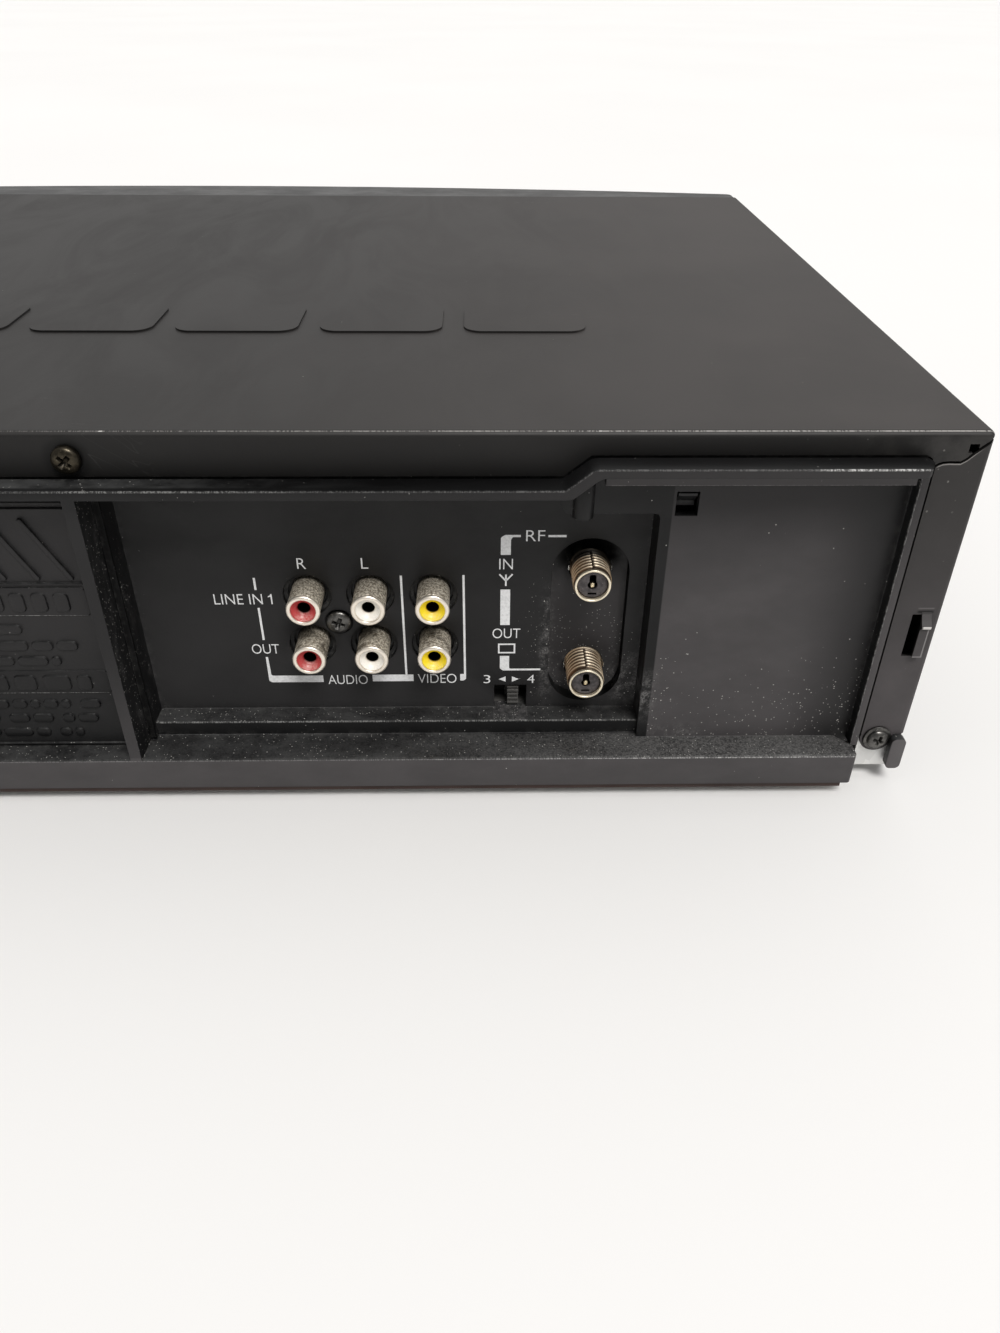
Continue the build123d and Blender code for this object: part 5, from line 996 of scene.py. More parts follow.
def raised_bars(name, bars, face, mat="rear_plastic", body="housing", facing=1):
    """Moulded bars with rounded ends and softened edges, standing on the wall at y = face.
    Each bar is (x, z, length, width, height, angle)."""
    bm = bmesh.new()
    for cx, cz, ln, wd, ht, ang in bars:
        ca, sa = math.cos(ang), math.sin(ang)
        outline = round_poly(rect(-ln / 2, ln / 2, -wd / 2, wd / 2), min(wd / 2, 1.2) * 0.98, 6)
        soft = min(0.26, ht * 0.5)
        rings = []
        for inset, t in ((-0.10, -0.35), (-0.10, 0.0), (0.0, 0.10), (0.0, ht - soft), (soft * 0.3, ht - soft * 0.3), (soft, ht)):
            ku, kv = (ln - 2 * inset) / ln, (wd - 2 * inset) / wd
            rings.append([bm.verts.new(((cx + u * ku * ca - v * kv * sa) * MM, (face + facing * t) * MM, (cz + u * ku * sa + v * kv * ca) * MM)) for u, v in outline])
        for a, b in zip(rings, rings[1:]):
            for i in range(len(a)):
                j = (i + 1) % len(a)
                bm.faces.new((a[i], a[j], b[j], b[i]))
        bm.faces.new(rings[0])
        bm.faces.new(rings[-1])
    bmesh.ops.recalc_face_normals(bm, faces=bm.faces)
    bmesh.ops.triangulate(bm, faces=[f for f in bm.faces if len(f.verts) > 4])
    mesh = bpy.data.meshes.new(name)
    bm.to_mesh(mesh)
    bm.free()
    return link(bpy.data.objects.new(name, finish_mesh(mesh, 40)), mat, body=body)


def label_field():
    """Framed field between the pillars: two broad bands, rows of short raised bars and slanting ribs, all plain."""
    rnd = random.Random(11)
    face = 139.6
    bars = []
    for z0, z1 in ((53.4, 61.0), (30.9, 37.6)):
        bars.append((15.0, (z0 + z1) / 2, 56.6, z1 - z0, 0.30, 0.0))
    raised_bars("label_bands", bars, face)
    bars = []
    for zc, hi in ((57.2, 5.0), (34.2, 4.4)):
        x = -9.0
        while x < 36.0:
            w = rnd.choice((4.4, 5.2, 6.6, 3.4))
            bars.append((x + w / 2, zc, w, hi, 0.48, 0.0))
            x += w + 1.7
    raised_bars("label_band_pads", bars, face + 0.30)
    bars = []
    for zc, start, stop in ((49.6, 4.0, 33.0), (44.9, -8.0, 38.0), (40.5, -3.0, 36.0), (27.5, -9.5, 38.0), (23.1, -8.0, 40.0), (18.6, -3.5, 34.0)):
        x = start
        while x < stop:
            w = rnd.choice((2.2, 2.9, 3.6, 5.0, 7.2))
            bars.append((x + w / 2, zc, w, 2.5, 0.50, 0.0))
            x += w + rnd.choice((0.9, 0.9, 0.9, 2.4))
    raised_bars("label_rows", bars, face)
    bars = []
    for i in range(4):
        bars.append((-7.0 + 7.6 * i, 70.8, 17.6, 1.15, 0.55, math.radians(61.6)))
        bars.append((37.0 - 7.6 * i, 70.8, 17.6, 1.15, 0.55, math.radians(118.4)))
    raised_bars("label_ribs", [b for k, b in enumerate(bars) if k not in (6, 7)] + [(15.0, 64.6, 5.4, 1.15, 0.55, 0.0)], face)
    lines = [(15.0, 80.9, 56.4, 0.5, 0.45, 0.0), (15.0, 82.4, 56.4, 0.5, 0.45, 0.0), (15.0, 14.9, 60.0, 0.55, 0.5, 0.0), (15.0, 62.0, 56.6, 0.5, 0.6, 0.0)]
    raised_bars("label_lines", lines, face)


label_field()


def pan_lip_and_shadow():
    """Turned-down edge of the base pan, made dark brown so that its thin line under the ledge also stands in for the
    shadow there.
    """
    s = Solid("base_pan_lip_and_shadow")
    s.block(-198.3, 198.3, 144.1, 145.2, 3.1, 5.2)
    link(s.done(bevel=0.15), "pan_edge")


pan_lip_and_shadow()


def side_rails():
    """Runner under each side of the cover, ending behind in a rounded cap."""
    for tag, sg in (("right", -1), ("left", 1)):
        s = Solid("side_rail_" + tag)
        s.block(sg * 211.5, sg * 215.0, -122.4, 136.5, 3.6, 13.8)
        s.block(sg * 213.1, sg * 215.0, 136.3, 138.6, 5.3, 13.8)
        cap = round_poly(rect(min(sg * 211.2, sg * 214.95), max(sg * 211.2, sg * 214.95), 5.3, 15.0), 1.30, 10)
        s.add(prism(cap, "y", 138.55, 140.75))
        link(s.done(bevel=0.34, segments=3, angle=50), "rail_plastic", replaces=("side_rails",))


side_rails()


# ------------------------------------------------------------------ jacks
def phono_jack(tag, x, z, colour, tip=137.1, sign=1, body="housing"):
    """Plated shell with a rolled lip, coloured insulator and the split contact inside."""
    def y(v):
        return tip - sign * v if sign > 0 else tip + v

    prof = [(3.60, 19.1), (4.02, 19.1), (4.02, 10.0), (4.02, 1.45), (3.99, 1.32), (3.90, 1.24), (3.88, 1.08), (3.93, 0.98), (4.05, 0.90),
            (4.14, 0.78), (4.17, 0.66), (4.15, 0.50), (4.08, 0.33), (3.96, 0.18), (3.80, 0.07), (3.62, 0.01), (3.42, 0.0), (3.24, 0.02),
            (3.12, 0.08), (3.05, 0.18), (3.02, 0.32), (3.04, 1.3), (3.60, 1.4)]
    shell = lathe("phono_shell_" + tag, [(r, y(d)) for r, d in prof], x, z, 72)
    ins = [(0.0, 17.1), (3.54, 17.1), (3.54, 1.60), (3.00, 1.50), (3.00, 0.42), (2.97, 0.34), (2.90, 0.32), (2.82, 0.37), (2.74, 0.50),
           (2.58, 0.82), (2.34, 1.14), (2.08, 1.40), (1.84, 1.57), (1.68, 1.70), (1.57, 1.88), (1.53, 2.15), (1.52, 12.0), (0.0, 12.0)]
    core = lathe("phono_insert_" + tag, [(r, y(d)) for r, d in ins], x, z, 64)
    con = [(1.26, 11.5), (1.48, 11.5), (1.48, 6.6), (1.44, 6.45), (1.30, 6.45), (1.26, 6.6)]
    contact = lathe("phono_contact_" + tag, [(r, y(d)) for r, d in con], x, z, 40)
    return shell, core, contact


for i, (x, colour) in enumerate(zip(JACK_X, ("red", "white", "yellow"))):
    for j, z in enumerate(JACK_Z):
        tag = colour + ("_in", "_out")[j]
        shell, core, contact = phono_jack(tag, x, z, colour)
        link(shell, "tarnished_nickel", replaces=("rca_shells",))
        link(core, "insert_" + colour, replaces=("rca_inserts_" + colour,))
        link(contact, "contact_brass")


def f_connector(tag, z, twist=0.0):
    """Threaded barrel: a real helical thread, a rolled seam along its top and a plain end ring."""
    tip, base = 135.7, 126.1
    ridge, root, pitch = 4.72, 4.24, 1.32
    segs, step = 96, 0.11
    ys = []
    y = base
    while y < tip - 1.05:
        ys.append(y)
        y += step
    ys.append(tip - 1.05)

    def thread(y, a):
        turn = ((a - math.pi / 2) % (2 * math.pi)) / (2 * math.pi)
        f = ((y - base) / pitch - 0.5 * turn + twist) % 1.0
        t = max(0.0, 1.0 - abs(f - 0.5) / 0.36)
        t = t * t * (3 - 2 * t)
        run = min(1.0, max(0.0, (y - base) / 0.4)) * min(1.0, max(0.0, (tip - 1.05 - y) / 0.35))
        r = root + (ridge - root) * t * run
        d = abs((a - math.pi / 2 - 0.02 + math.pi) % (2 * math.pi) - math.pi) * r
        if d < 0.20:
            r -= 0.30 * (1 - d / 0.20)
        return r

    bm = bmesh.new()
    rows = []
    for y in ys:
        rows.append([bm.verts.new(((F_X + thread(y, a) * math.cos(a)) * MM, y * MM, (z + thread(y, a) * math.sin(a)) * MM))
                     for a in (2 * math.pi * i / segs for i in range(segs))])
    for r, y in ((4.22, tip - 0.95), (4.30, tip - 0.86), (4.36, tip - 0.70), (4.36, tip - 0.22), (4.31, tip - 0.07), (4.22, tip),
                 (4.02, tip), (3.86, tip - 0.05), (3.76, tip - 0.18), (3.72, tip - 0.6), (3.62, 124.0), (3.62, 120.0), (6.2, 120.0), (6.2, 123.3),
                 (4.95, 123.3), (4.95, 125.6), (4.5, 125.9)):
        rows.append([bm.verts.new(((F_X + r * math.cos(a)) * MM, y * MM, (z + r * math.sin(a)) * MM))
                     for a in (2 * math.pi * i / segs for i in range(segs))])
    for k in range(len(rows)):
        a, b = rows[k], rows[(k + 1) % len(rows)]
        for i in range(segs):
            j = (i + 1) % segs
            bm.faces.new((a[i], a[j], b[j], b[i]))
    bmesh.ops.recalc_face_normals(bm, faces=bm.faces)
    mesh = bpy.data.meshes.new("aerial_socket_" + tag)
    bm.to_mesh(mesh)
    bm.free()
    obj = bpy.data.objects.new("aerial_socket_" + tag, finish_mesh(mesh, 40.0))
    return link(obj, "brass_thread", replaces=("f_connector_" + tag,))


f_connector("in", F_Z[0])
f_connector("out", F_Z[1], 0.4)


def aerial_insulator(tag, z):
    """Disc in the barrel with a keyhole, the sprung centre contact behind it and the two lock ears at its foot."""
    s = Solid("aerial_insulator_" + tag)
    s.add(prism(circle(F_X, z, 3.60, 64), "y", 121.0, 134.75))
    s.cut(prism(circle(F_X, z - 0.25, 1.18, 36), "y", 126.0, 136.0))
    s.cut(prism(round_poly(rect(F_X - 0.78, F_X + 0.78, z, z + 2.55), [0, 0, 0.5, 0.5], 4), "y", 126.0, 136.0))
    s.block(F_X - 1.05, F_X + 1.05, 133.4, 136.0, z - 2.95, z - 2.3, "cut")
    link(s.done(bevel=0.10, segments=2), "insulator", replaces=("f_connector_insulators",))
    prof = [(0.0, 126.4), (0.42, 126.4), (0.44, 131.2), (0.36, 132.5), (0.50, 133.2), (0.66, 133.8), (0.70, 134.2), (0.60, 134.55), (0.36, 134.72), (0.0, 134.78)]
    spring = lathe("aerial_contact_" + tag, prof, F_X, z - 0.30, 28, warp=lambda r, y, a: r * (0.72 if abs(math.sin(a)) < 0.25 and y > 132.0 else 1.0))
    link(spring, "contact_brass", replaces=("f_connector_contacts",))
    for sg in (-1, 1):
        ear = prism([(F_X + sg * 4.75, 126.0), (F_X + sg * 5.15, 126.0), (F_X + sg * 5.20, 127.4), (F_X + sg * 5.45, 128.1), (F_X + sg * 5.15, 128.35),
                     (F_X + sg * 4.85, 127.6)], "z", z + 0.2, z + 1.5)
        bmesh.ops.bevel(ear, geom=list(ear.edges), offset=0.05 * MM, segments=1, affect="EDGES", clamp_overlap=True)
        mesh = bpy.data.meshes.new("ear")
        ear.to_mesh(mesh)
        ear.free()
        link(bpy.data.objects.new("aerial_ear_%s_%s" % (tag, "a" if sg < 0 else "b"), finish_mesh(mesh, 30)), "tinplate")


aerial_insulator("in", F_Z[0])
aerial_insulator("out", F_Z[1])


# ------------------------------------------------------------------ screws
def screw(name, x, z, seat, head_r, head_h, shank_r, length, mat, turn=0.0, washer=0.0):
    s = Solid(name)
    prof = []
    n = 7
    bm = bmesh.new()
    rings = []
    dome = [(shank_r, seat - length), (shank_r, seat)]
    if washer:
        dome += [(head_r + washer, seat), (head_r + washer, seat + 0.45), (head_r + washer - 0.25, seat + 0.6)]
    dome += [(head_r, seat + (0.6 if washer else 0.0))]
    for i in range(n + 1):
        a = math.radians(8 + 74 * i / n)
        dome.append((head_r * math.cos(a) ** 0.75, seat + head_h * (0.42 + 0.58 * math.sin(a))))
    dome[-1] = (head_r * 0.30, seat + head_h)
    segs = 56
    for r, y in dome:
        rings.append([bm.verts.new(((x + r * math.cos(a)) * MM, y * MM, (z + r * math.sin(a)) * MM))
                      for a in (2 * math.pi * k / segs for k in range(segs))])
    for a, b in zip(rings, rings[1:]):
        for k in range(segs):
            bm.faces.new((a[k], a[(k + 1) % segs], b[(k + 1) % segs], b[k]))
    bm.faces.new(rings[0])
    bm.faces.new(rings[-1])
    bmesh.ops.recalc_face_normals(bm, faces=bm.faces)
    s.add(bm)
    # tapered cross recess
    top = seat + head_h + 0.2
    for k in range(2):
        cut = bmesh.new()
        ca, sa = math.cos(turn + k * math.pi / 2), math.sin(turn + k * math.pi / 2)

        def at(u, v, y):
            return ((x + u * ca - v * sa) * MM, y * MM, (z + u * sa + v * ca) * MM)

        wl, wd = head_r * 0.62, head_r * 0.185
        low = [cut.verts.new(at(u, v, seat + head_h - 1.35)) for u, v in ((-0.85, -0.28), (0.85, -0.28), (0.85, 0.28), (-0.85, 0.28))]
        high = [cut.verts.new(at(u, v, top)) for u, v in ((-wl, -wd), (wl, -wd), (wl, wd), (-wl, wd))]
        cut.faces.new(low)
        cut.faces.new(high)
        for i in range(4):
            cut.faces.new((low[i], low[(i + 1) % 4], high[(i + 1) % 4], high[i]))
        bmesh.ops.recalc_face_normals(cut, faces=cut.faces)
        s.cut(cut)
    obj = s.done(bevel=0.06, segments=1, angle=50.0)
    return obj


for tag, (x, z, turn) in {"middle": (-16.4, 92.0, 0.75), "right": (-207.8, 14.1, 0.35), "left": (207.8, 14.1, 1.1)}.items():
    low = z < 50.0
    head = screw("cover_screw_" + tag, x, z, 138.5, 2.75 if low else 3.15, 1.9 if low else 2.1, 1.5, 6.0, "bronze_screw", turn, 0.85 if low else 0.0)
    link(head, "black_screw" if low else "bronze_screw", replaces=("cover_screws",))
for tag, (x, z, seat, turn) in {"jacks": (-69.1, 44.9, 129.1, 0.35), "low": (100.0, 24.0, 137.5, 0.6), "high": (186.0, 70.0, 137.5, 1.3)}.items():
    link(screw("panel_screw_" + tag, x, z, seat, 3.10, 1.7, 1.5, 11.5 if tag == "jacks" else 9.0, "black_screw", turn), "black_screw", replaces=("rear_panel_screws",))


# ------------------------------------------------------------------- print
def print_mesh(name, shapes, y=129.5, thick=0.045, sink=0.02, mat="white_ink", facing=1):
    """Flat printed shapes standing a hair proud of the wall at y."""
    bm = bmesh.new()
    for pts in shapes:
        low = [bm.verts.new((p[0] * MM, (y - facing * sink) * MM, p[1] * MM)) for p in pts]
        high = [bm.verts.new((p[0] * MM, (y + facing * thick) * MM, p[1] * MM)) for p in pts]
        bm.faces.new(low)
        bm.faces.new(high)
        n = len(pts)
        for i in range(n):
            bm.faces.new((low[i], low[(i + 1) % n], high[(i + 1) % n], high[i]))
    bmesh.ops.recalc_face_normals(bm, faces=bm.faces)
    bmesh.ops.triangulate(bm, faces=[f for f in bm.faces if len(f.verts) > 4])
    mesh = bpy.data.meshes.new(name)
    bm.to_mesh(mesh)
    bm.free()
    return link(bpy.data.objects.new(name, mesh), mat)


def line_shape(pts, width):
    """A polyline of even width as one outline."""
    left, right = [], []
    m = len(pts)
    for i, p in enumerate(pts):
        a = Vector(pts[max(0, i - 1)])
        b = Vector(pts[min(m - 1, i + 1)])
        v = Vector(p)
        if i == 0 or i == m - 1:
            d = (b - a).normalized()
            nrm = Vector((-d.y, d.x)) * width / 2
        else:
            d0, d1 = (v - a).normalized(), (b - v).normalized()
            n0, n1 = Vector((-d0.y, d0.x)), Vector((-d1.y, d1.x))
            nrm = (n0 + n1).normalized()
            nrm *= width / 2 / max(0.3, nrm.dot(n0))
        left.append(tuple(v + nrm))
        right.append(tuple(v - nrm))
    return left + right[::-1]


def words(name, text, x_mid, z_mid, height, width=None, y=129.5, mat="white_ink", facing=1, bold=-0.006, body="housing"):
    """Lettering fitted to a height and width, read from outside the machine."""
    cu = bpy.data.curves.new(name, "FONT")
    cu.body = text
    cu.size = 1.0
    cu.extrude = 0.01
    cu.offset = bold
    tmp = bpy.data.objects.new("tmp", cu)
    SCENE.collection.objects.link(tmp)
    dg = bpy.context.evaluated_depsgraph_get()
    mesh = bpy.data.meshes.new_from_object(tmp.evaluated_get(dg))
    bpy.data.objects.remove(tmp)
    bpy.data.curves.remove(cu)
    xs = [v.co.x for v in mesh.vertices]
    ys = [v.co.y for v in mesh.vertices]
    x0, x1, y0, y1 = min(xs), max(xs), min(ys), max(ys)
    sy = height / (y1 - y0)
    sx = (width / (x1 - x0)) if width else sy
    for v in mesh.vertices:
        u, w, t = (v.co.x - (x0 + x1) / 2) * sx, (v.co.y - (y0 + y1) / 2) * sy, 0.045 if v.co.z > 0 else -0.02
        v.co = Vector(((x_mid - facing * u) * MM, (y + facing * t) * MM, (z_mid + w) * MM))
    mesh.name = name
    bm = bmesh.new()
    bm.from_mesh(mesh)
    bmesh.ops.remove_doubles(bm, verts=bm.verts, dist=1e-7)
    bmesh.ops.recalc_face_normals(bm, faces=bm.faces)
    bm.to_mesh(mesh)
    bm.free()
    return link(bpy.data.objects.new(name, mesh), mat, body=body)


def jack_print():
    lw = 0.55
    s = []
    # bracket left of the phono jacks, broken for its two words
    s.append(line_shape([(-49.7, 57.5), (-49.7, 54.1)], lw))
    s.append(line_shape([(-49.75, 49.0), (-49.8, 39.5)], lw))
    s.append(round_poly([(-49.6, 34.3), (-50.2, 34.3), (-50.4, 28.45), (-63.6, 28.45), (-63.6, 26.35), (-50.2, 26.35), (-49.6, 26.9)], [0, 0, 0.5, 0, 0, 0.9, 0.6], 5))
    s.append(rect(-86.9, -76.3, 26.5, 28.6))
    s.append(line_shape([(-85.1, 58.0), (-85.1, 28.5)], lw))
    s.append(round_poly([(-100.5, 58.1), (-99.95, 58.1), (-99.95, 28.7), (-98.95, 28.7), (-98.95, 26.6), (-99.9, 26.6), (-100.5, 27.2)], [0, 0, 0, 0.2, 0.2, 0.6, 0.3], 4))
    print_mesh("print_phono_lines", s)
    s = []
    s.append(round_poly([(-109.2, 63.6), (-111.6, 63.6), (-111.6, 67.6), (-112.0, 68.35), (-113.9, 68.35), (-113.9, 68.95), (-110.2, 68.95), (-109.2, 68.2)], [0, 0, 0.4, 0.3, 0, 0, 0.8, 0.6], 4))
    s.append(rect(-124.7, -120.4, 68.3, 68.9))
    s.append(rect(-111.6, -109.2, 43.7, 54.0))
    s.append(round_poly([(-109.2, 34.3), (-111.6, 34.3), (-111.6, 30.3), (-119.7, 30.3), (-119.7, 29.75), (-110.0, 29.75), (-109.2, 30.4)], [0, 0, 0.4, 0, 0, 0.6, 0.5], 4))
    # small arrow heads each side of the switch
    s.append([(-108.95, 27.0), (-110.75, 27.85), (-110.75, 26.15)])
    s.append([(-114.15, 27.0), (-112.35, 27.85), (-112.35, 26.15)])
    print_mesh("print_aerial_lines", s)
    words("print_r", "R", -61.5, 61.4, 2.9, 2.1)
    words("print_l", "L", -76.6, 61.4, 2.9, 1.7)
    words("print_phono_in", "LINE IN", -45.1, 51.5, 2.9, 11.8)
    print_mesh("print_one", [[(-53.05, 50.05), (-53.4, 50.05), (-53.4, 52.95), (-53.12, 52.95), (-52.9, 52.55), (-52.4, 52.3), (-52.4, 52.0), (-53.05, 52.2)]])
    words("print_phono_out", "OUT", -49.9, 36.8, 2.9, 6.9)
    words("print_audio", "AUDIO", -69.9, 27.1, 2.9, 10.2)
    words("print_video", "VIDEO", -93.0, 27.3, 2.9, 10.0)
    words("print_rf", "RF", -117.4, 68.7, 2.9, 4.5)
    words("print_aerial_in", "IN", -110.5, 61.1, 2.9, 3.3)
    words("print_aerial_out", "OUT", -110.8, 41.2, 2.9, 7.0)
    words("print_three", "3", -105.9, 27.0, 2.6, 1.75)
    words("print_four", "4", -117.3, 27.0, 2.6, 1.9)
    # aerial and screen pictograms
    t = 0.42
    s = [line_shape([(-110.5, 55.0), (-110.5, 58.2)], t), line_shape([(-108.9, 58.3), (-110.35, 56.6)], t), line_shape([(-112.1, 58.3), (-110.65, 56.6)], t)]
    z0, z1, x0, x1 = 35.1, 38.1, -108.7, -113.1
    s += [rect(x1, x0, z0, z0 + t), rect(x1, x0, z1 - t, z1), rect(x1, x1 + t, z0 + t, z1 - t), rect(x0 - t, x0, z0 + t, z1 - t)]
    print_mesh("print_pictograms", s)


jack_print()


# ------------------------------------------------------------------- front
BOW_R = (215.0 ** 2 + 15.0 ** 2) / 30.0
BOW_CY = -146.0 + BOW_R


def bow(x, inset=0.0):
    """The bezel's face at x, moved inwards by inset."""
    return BOW_CY - math.sqrt((BOW_R - inset) ** 2 - x * x)


def bow_print(name, shapes, inset, mat="white_ink", body="housing", thick=0.05, sink=0.03):
    """Flat shapes printed on the bowed front, cut fine enough to follow it."""
    bm = bmesh.new()
    for pts in shapes:
        low = [bm.verts.new((p[0] * MM, (bow(p[0], inset) + sink) * MM, p[1] * MM)) for p in pts]
        high = [bm.verts.new((p[0] * MM, (bow(p[0], inset) - thick) * MM, p[1] * MM)) for p in pts]
        bm.faces.new(low)
        bm.faces.new(high)
        n = len(pts)
        for i in range(n):
            bm.faces.new((low[i], low[(i + 1) % n], high[(i + 1) % n], high[i]))
    bmesh.ops.recalc_face_normals(bm, faces=bm.faces)
    bmesh.ops.triangulate(bm, faces=[f for f in bm.faces if len(f.verts) > 4])
    mesh = bpy.data.meshes.new(name)
    bm.to_mesh(mesh)
    bm.free()
    return link(bpy.data.objects.new(name, mesh), mat, body=body)


def arc_shape(cx, cz, r, width, a0, a1, n=28):
    out = [(cx + (r + width / 2) * math.cos(a0 + (a1 - a0) * i / n), cz + (r + width / 2) * math.sin(a0 + (a1 - a0) * i / n)) for i in range(n + 1)]
    inn = [(cx + (r - width / 2) * math.cos(a1 + (a0 - a1) * i / n), cz + (r - width / 2) * math.sin(a1 + (a0 - a1) * i / n)) for i in range(n + 1)]
    return out + inn


def arrow(cx, cz, w, h, way):
    """Triangle pointing right (1), left (-1) or up and down (2, -2)."""
    if abs(way) == 1:
        return [(cx - way * w / 2, cz + h / 2), (cx - way * w / 2, cz - h / 2), (cx + way * w / 2, cz)]
    sg = 1 if way > 0 else -1
    return [(cx - w / 2, cz - sg * h / 2), (cx + w / 2, cz - sg * h / 2), (cx, cz + sg * h / 2)]


def front_print():
    key = -0.9
    bow_print("mark_power", [arc_shape(-184.0, 70.9, 1.9, 0.42, math.radians(125), math.radians(415)), rect(-184.25, -183.75, 71.1, 73.6)], key, body="power_key")
    bow_print("mark_eject", [arrow(128.0, 71.9, 5.2, 2.8, 2), rect(125.4, 130.6, 68.7, 69.5)], key, body="eject_key")
    bow_print("mark_channel_up", [arrow(181.0, 76.0, 4.2, 2.7, 2)], key, body="channel_up_key")
    bow_print("mark_channel_down", [arrow(181.0, 65.0, 4.2, 2.7, -2)], key, body="channel_down_key")
    bow_print("mark_rewind", [arrow(100.3, 31.0, 3.4, 4.2, -1), arrow(103.7, 31.0, 3.4, 4.2, -1)], key, body="rewind_key")
    bow_print("mark_play", [arrow(130.0, 38.0, 4.4, 5.0, 1)], key, body="play_key")
    bow_print("mark_stop", [rect(128.2, 131.8, 22.2, 25.8)], key, body="stop_key")
    bow_print("mark_fast_forward", [arrow(156.3, 31.0, 3.4, 4.2, 1), arrow(159.7, 31.0, 3.4, 4.2, 1)], key, body="fast_forward_key")
    bow_print("mark_record", [circle(184.0, 31.0, 2.0, 40)], key, mat="red_ink", body="record_key")
    # tape outline on the flap
    s = []
    out = round_poly(rect(-7.0, 7.0, 62.0, 70.0), 1.0, 5)
    inn = round_poly(rect(-6.6, 6.6, 62.4, 69.6), 0.7, 5)
    for i in range(len(out)):
        j = (i + 1) % len(out)
        s.append([out[i], out[j], inn[j], inn[i]])
    for cx in (-3.2, 3.2):
        s.append(arc_shape(cx, 66.0, 1.35, 0.4, 0.0, math.pi))
        s.append(arc_shape(cx, 66.0, 1.35, 0.4, math.pi, 2 * math.pi))
    bow_print("mark_tape", s, 1.4, body="flap")
    for name, text, x, w in (("front_video", "VIDEO", -180.0, 9.0), ("front_left", "L", -164.0, 1.3), ("front_right", "R", -148.0, 1.6)):
        obj = words("print_" + name, text, x, 42.2, 2.1, w, y=0.0, facing=-1)
        for v in obj.data.vertices:
            v.co.y += bow(v.co.x / MM) * MM
    bow_print("print_front_lines", [rect(-172.3, -171.9, 40.6, 43.8), rect(-161.0, -151.0, 42.0, 42.35)], 0.0)


front_print()


def front_jacks():
    """Phono sockets behind the front recess: block, coloured cores, plated shells."""
    s = Solid("front_jack_body")
    s.block(-190.0, -138.0, -127.5, -118.0, 17.0, 37.0)
    for x in (-180.0, -164.0, -148.0):
        s.cut(prism(circle(x, 27.0, 4.17, 40), "y", -128.5, -120.0))
        s.block(x - 0.7, x + 0.7, -127.9, -127.0, 17.5, 21.0)
    link(s.done(bevel=0.35), "jack_plastic", replaces=("front_jack_block",))
    for colour, x in (("yellow", -180.0), ("white", -164.0), ("red", -148.0)):
        shell, core, contact = phono_jack("front_" + colour, x, 27.0, colour, tip=-136.6, sign=-1)
        link(shell, "tarnished_nickel", replaces=("front_jack_shells",))
        link(core, "insert_" + colour)
        link(contact, "contact_brass")


front_jacks()


def display_digits():
    """Unlit clock figures and small marks on the display tube, seen faintly through the window."""
    y = -131.0
    shapes = []
    seg = {"a": (0, 1), "b": (1, 0.5), "c": (1, -0.5), "d": (0, -1), "e": (-1, -0.5), "f": (-1, 0.5), "g": (0, 0)}
    w, h, t = 6.4, 12.0, 1.1
    for cx in (-26.0, -15.0, 1.0, 12.0):
        for name, (sx, sz) in seg.items():
            mx = cx + sx * (w / 2 - t / 2)
            mz = 32.0 + sz * (h / 2 - t / 2)
            if name in "adg":
                half = w / 2 - t * 0.75
                shapes.append([(mx - half, mz), (mx - half + t / 2, mz - t / 2), (mx + half - t / 2, mz - t / 2), (mx + half, mz), (mx + half - t / 2, mz + t / 2), (mx - half + t / 2, mz + t / 2)])
            else:
                half = h / 4 - t * 0.35
                shapes.append([(mx, mz - half), (mx + t / 2, mz - half + t / 2), (mx + t / 2, mz + half - t / 2), (mx, mz + half), (mx - t / 2, mz + half - t / 2), (mx - t / 2, mz - half + t / 2)])
    for dz in (-2.4, 2.4):
        shapes.append(circle(-7.0, 32.0 + dz, 0.7, 20))
    for i in range(9):
        shapes.append(rect(26.0 + i * 3.0, 28.2 + i * 3.0, 24.6, 27.0))
    for i in range(3):
        shapes.append(arrow(30.0 + i * 9.0, 37.5, 3.2, 3.6, 1))
    shapes.append(rect(-50.0, -42.0, 36.0, 38.4))
    shapes.append(rect(-50.0, -42.0, 26.0, 28.4))
    print_mesh("display_figures", shapes, y=y, thick=0.06, sink=0.03, mat="phosphor", facing=-1)


display_digits()


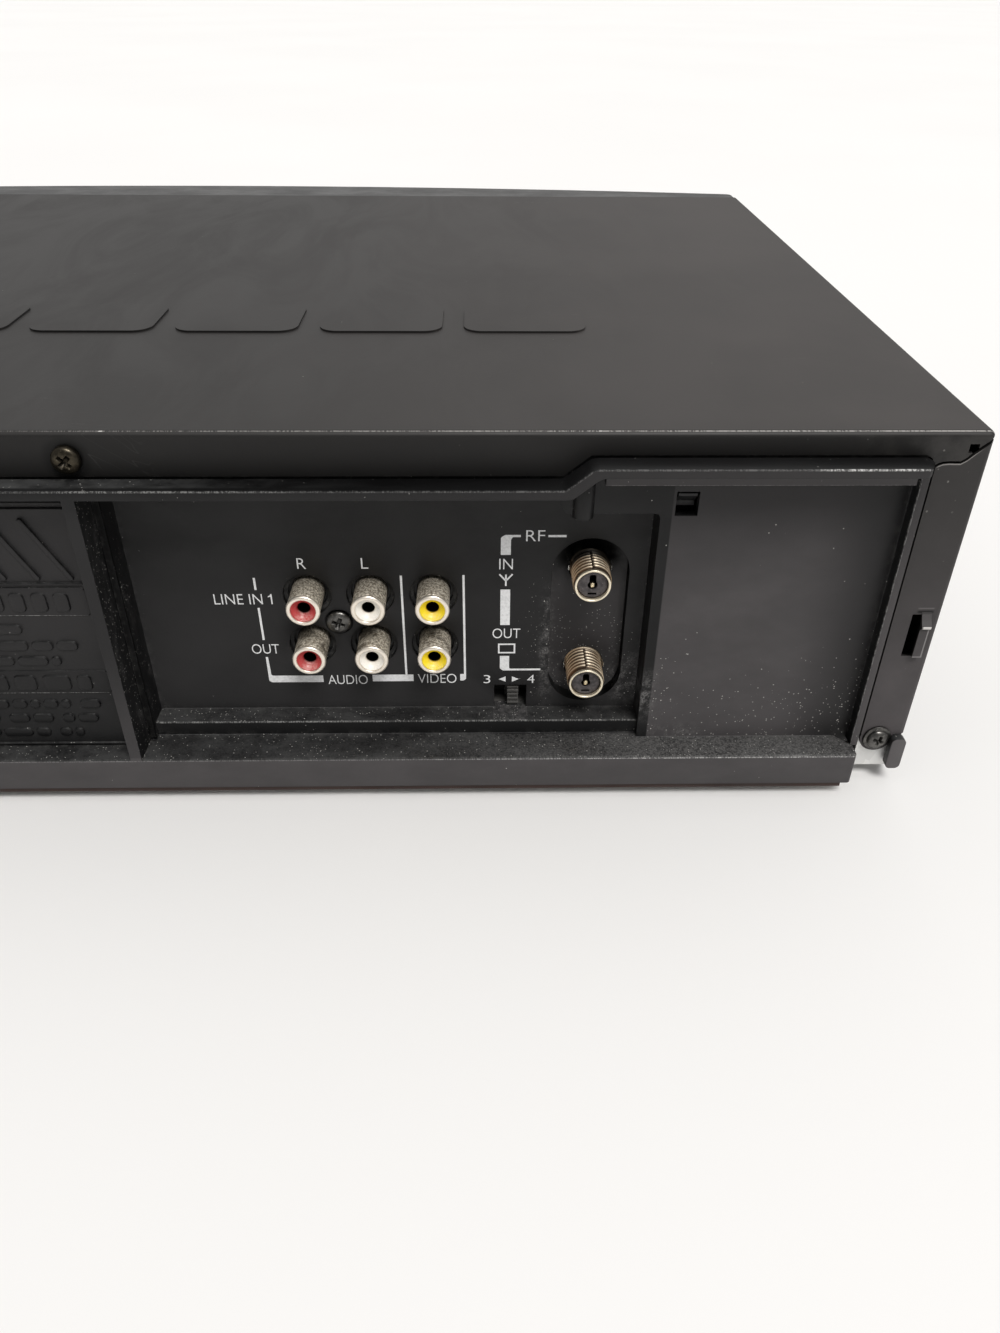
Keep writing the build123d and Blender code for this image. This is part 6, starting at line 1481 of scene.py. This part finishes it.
# ------------------------------------------------------------------- stage
def make_stage():
    bm = bmesh.new()
    bmesh.ops.create_grid(bm, x_segments=4, y_segments=4, size=30.0)
    mesh = bpy.data.meshes.new("floor")
    bm.to_mesh(mesh)
    bm.free()
    floor = bpy.data.objects.new("floor", mesh)
    SCENE.collection.objects.link(floor)
    g = G("floor_m", rough=0.75, spec=0.2)
    g.set(g.mix(g.smooth(g.noise(2.0, 3, 0.5), 0.3, 0.7), (0.83, 0.825, 0.82), (0.845, 0.84, 0.835)), g.lerp(g.noise(5.0, 2, 0.5), 0.70, 0.80))
    floor.data.materials.append(g.m)
    floor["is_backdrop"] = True
    # key light high on the right, a little behind the viewer
    sun = bpy.data.lights.new("key", "SUN")
    sun.energy = 1.90
    sun.angle = math.radians(22.0)
    sun.color = (1.0, 0.985, 0.965)
    o = bpy.data.objects.new("key", sun)
    SCENE.collection.objects.link(o)
    o.rotation_mode = "QUATERNION"
    o.rotation_quaternion = Vector((-0.25, 0.60, 1.0)).to_track_quat("Z", "Y")
    world = bpy.data.worlds.new("studio")
    SCENE.world = world
    world.use_nodes = True
    nt = world.node_tree
    nt.nodes.clear()
    out = nt.nodes.new("ShaderNodeOutputWorld")
    bg = nt.nodes.new("ShaderNodeBackground")
    co = nt.nodes.new("ShaderNodeTexCoord")
    dot = nt.nodes.new("ShaderNodeVectorMath")
    dot.operation = "DOT_PRODUCT"
    nt.links.new(co.outputs["Generated"], dot.inputs[0])
    dot.inputs[1].default_value = (-0.22, -0.55, 0.75)
    rng = nt.nodes.new("ShaderNodeMapRange")
    rng.interpolation_type = "SMOOTHSTEP"
    rng.inputs["From Min"].default_value = -0.35
    rng.inputs["From Max"].default_value = 0.80
    rng.inputs["To Min"].default_value = 0.20
    rng.inputs["To Max"].default_value = 0.62
    nt.links.new(dot.outputs["Value"], rng.inputs["Value"])
    nt.links.new(rng.outputs["Result"], bg.inputs["Strength"])
    bg.inputs["Color"].default_value = (1.0, 0.992, 0.98, 1.0)
    nt.links.new(bg.outputs[0], out.inputs[0])


make_stage()

low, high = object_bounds()
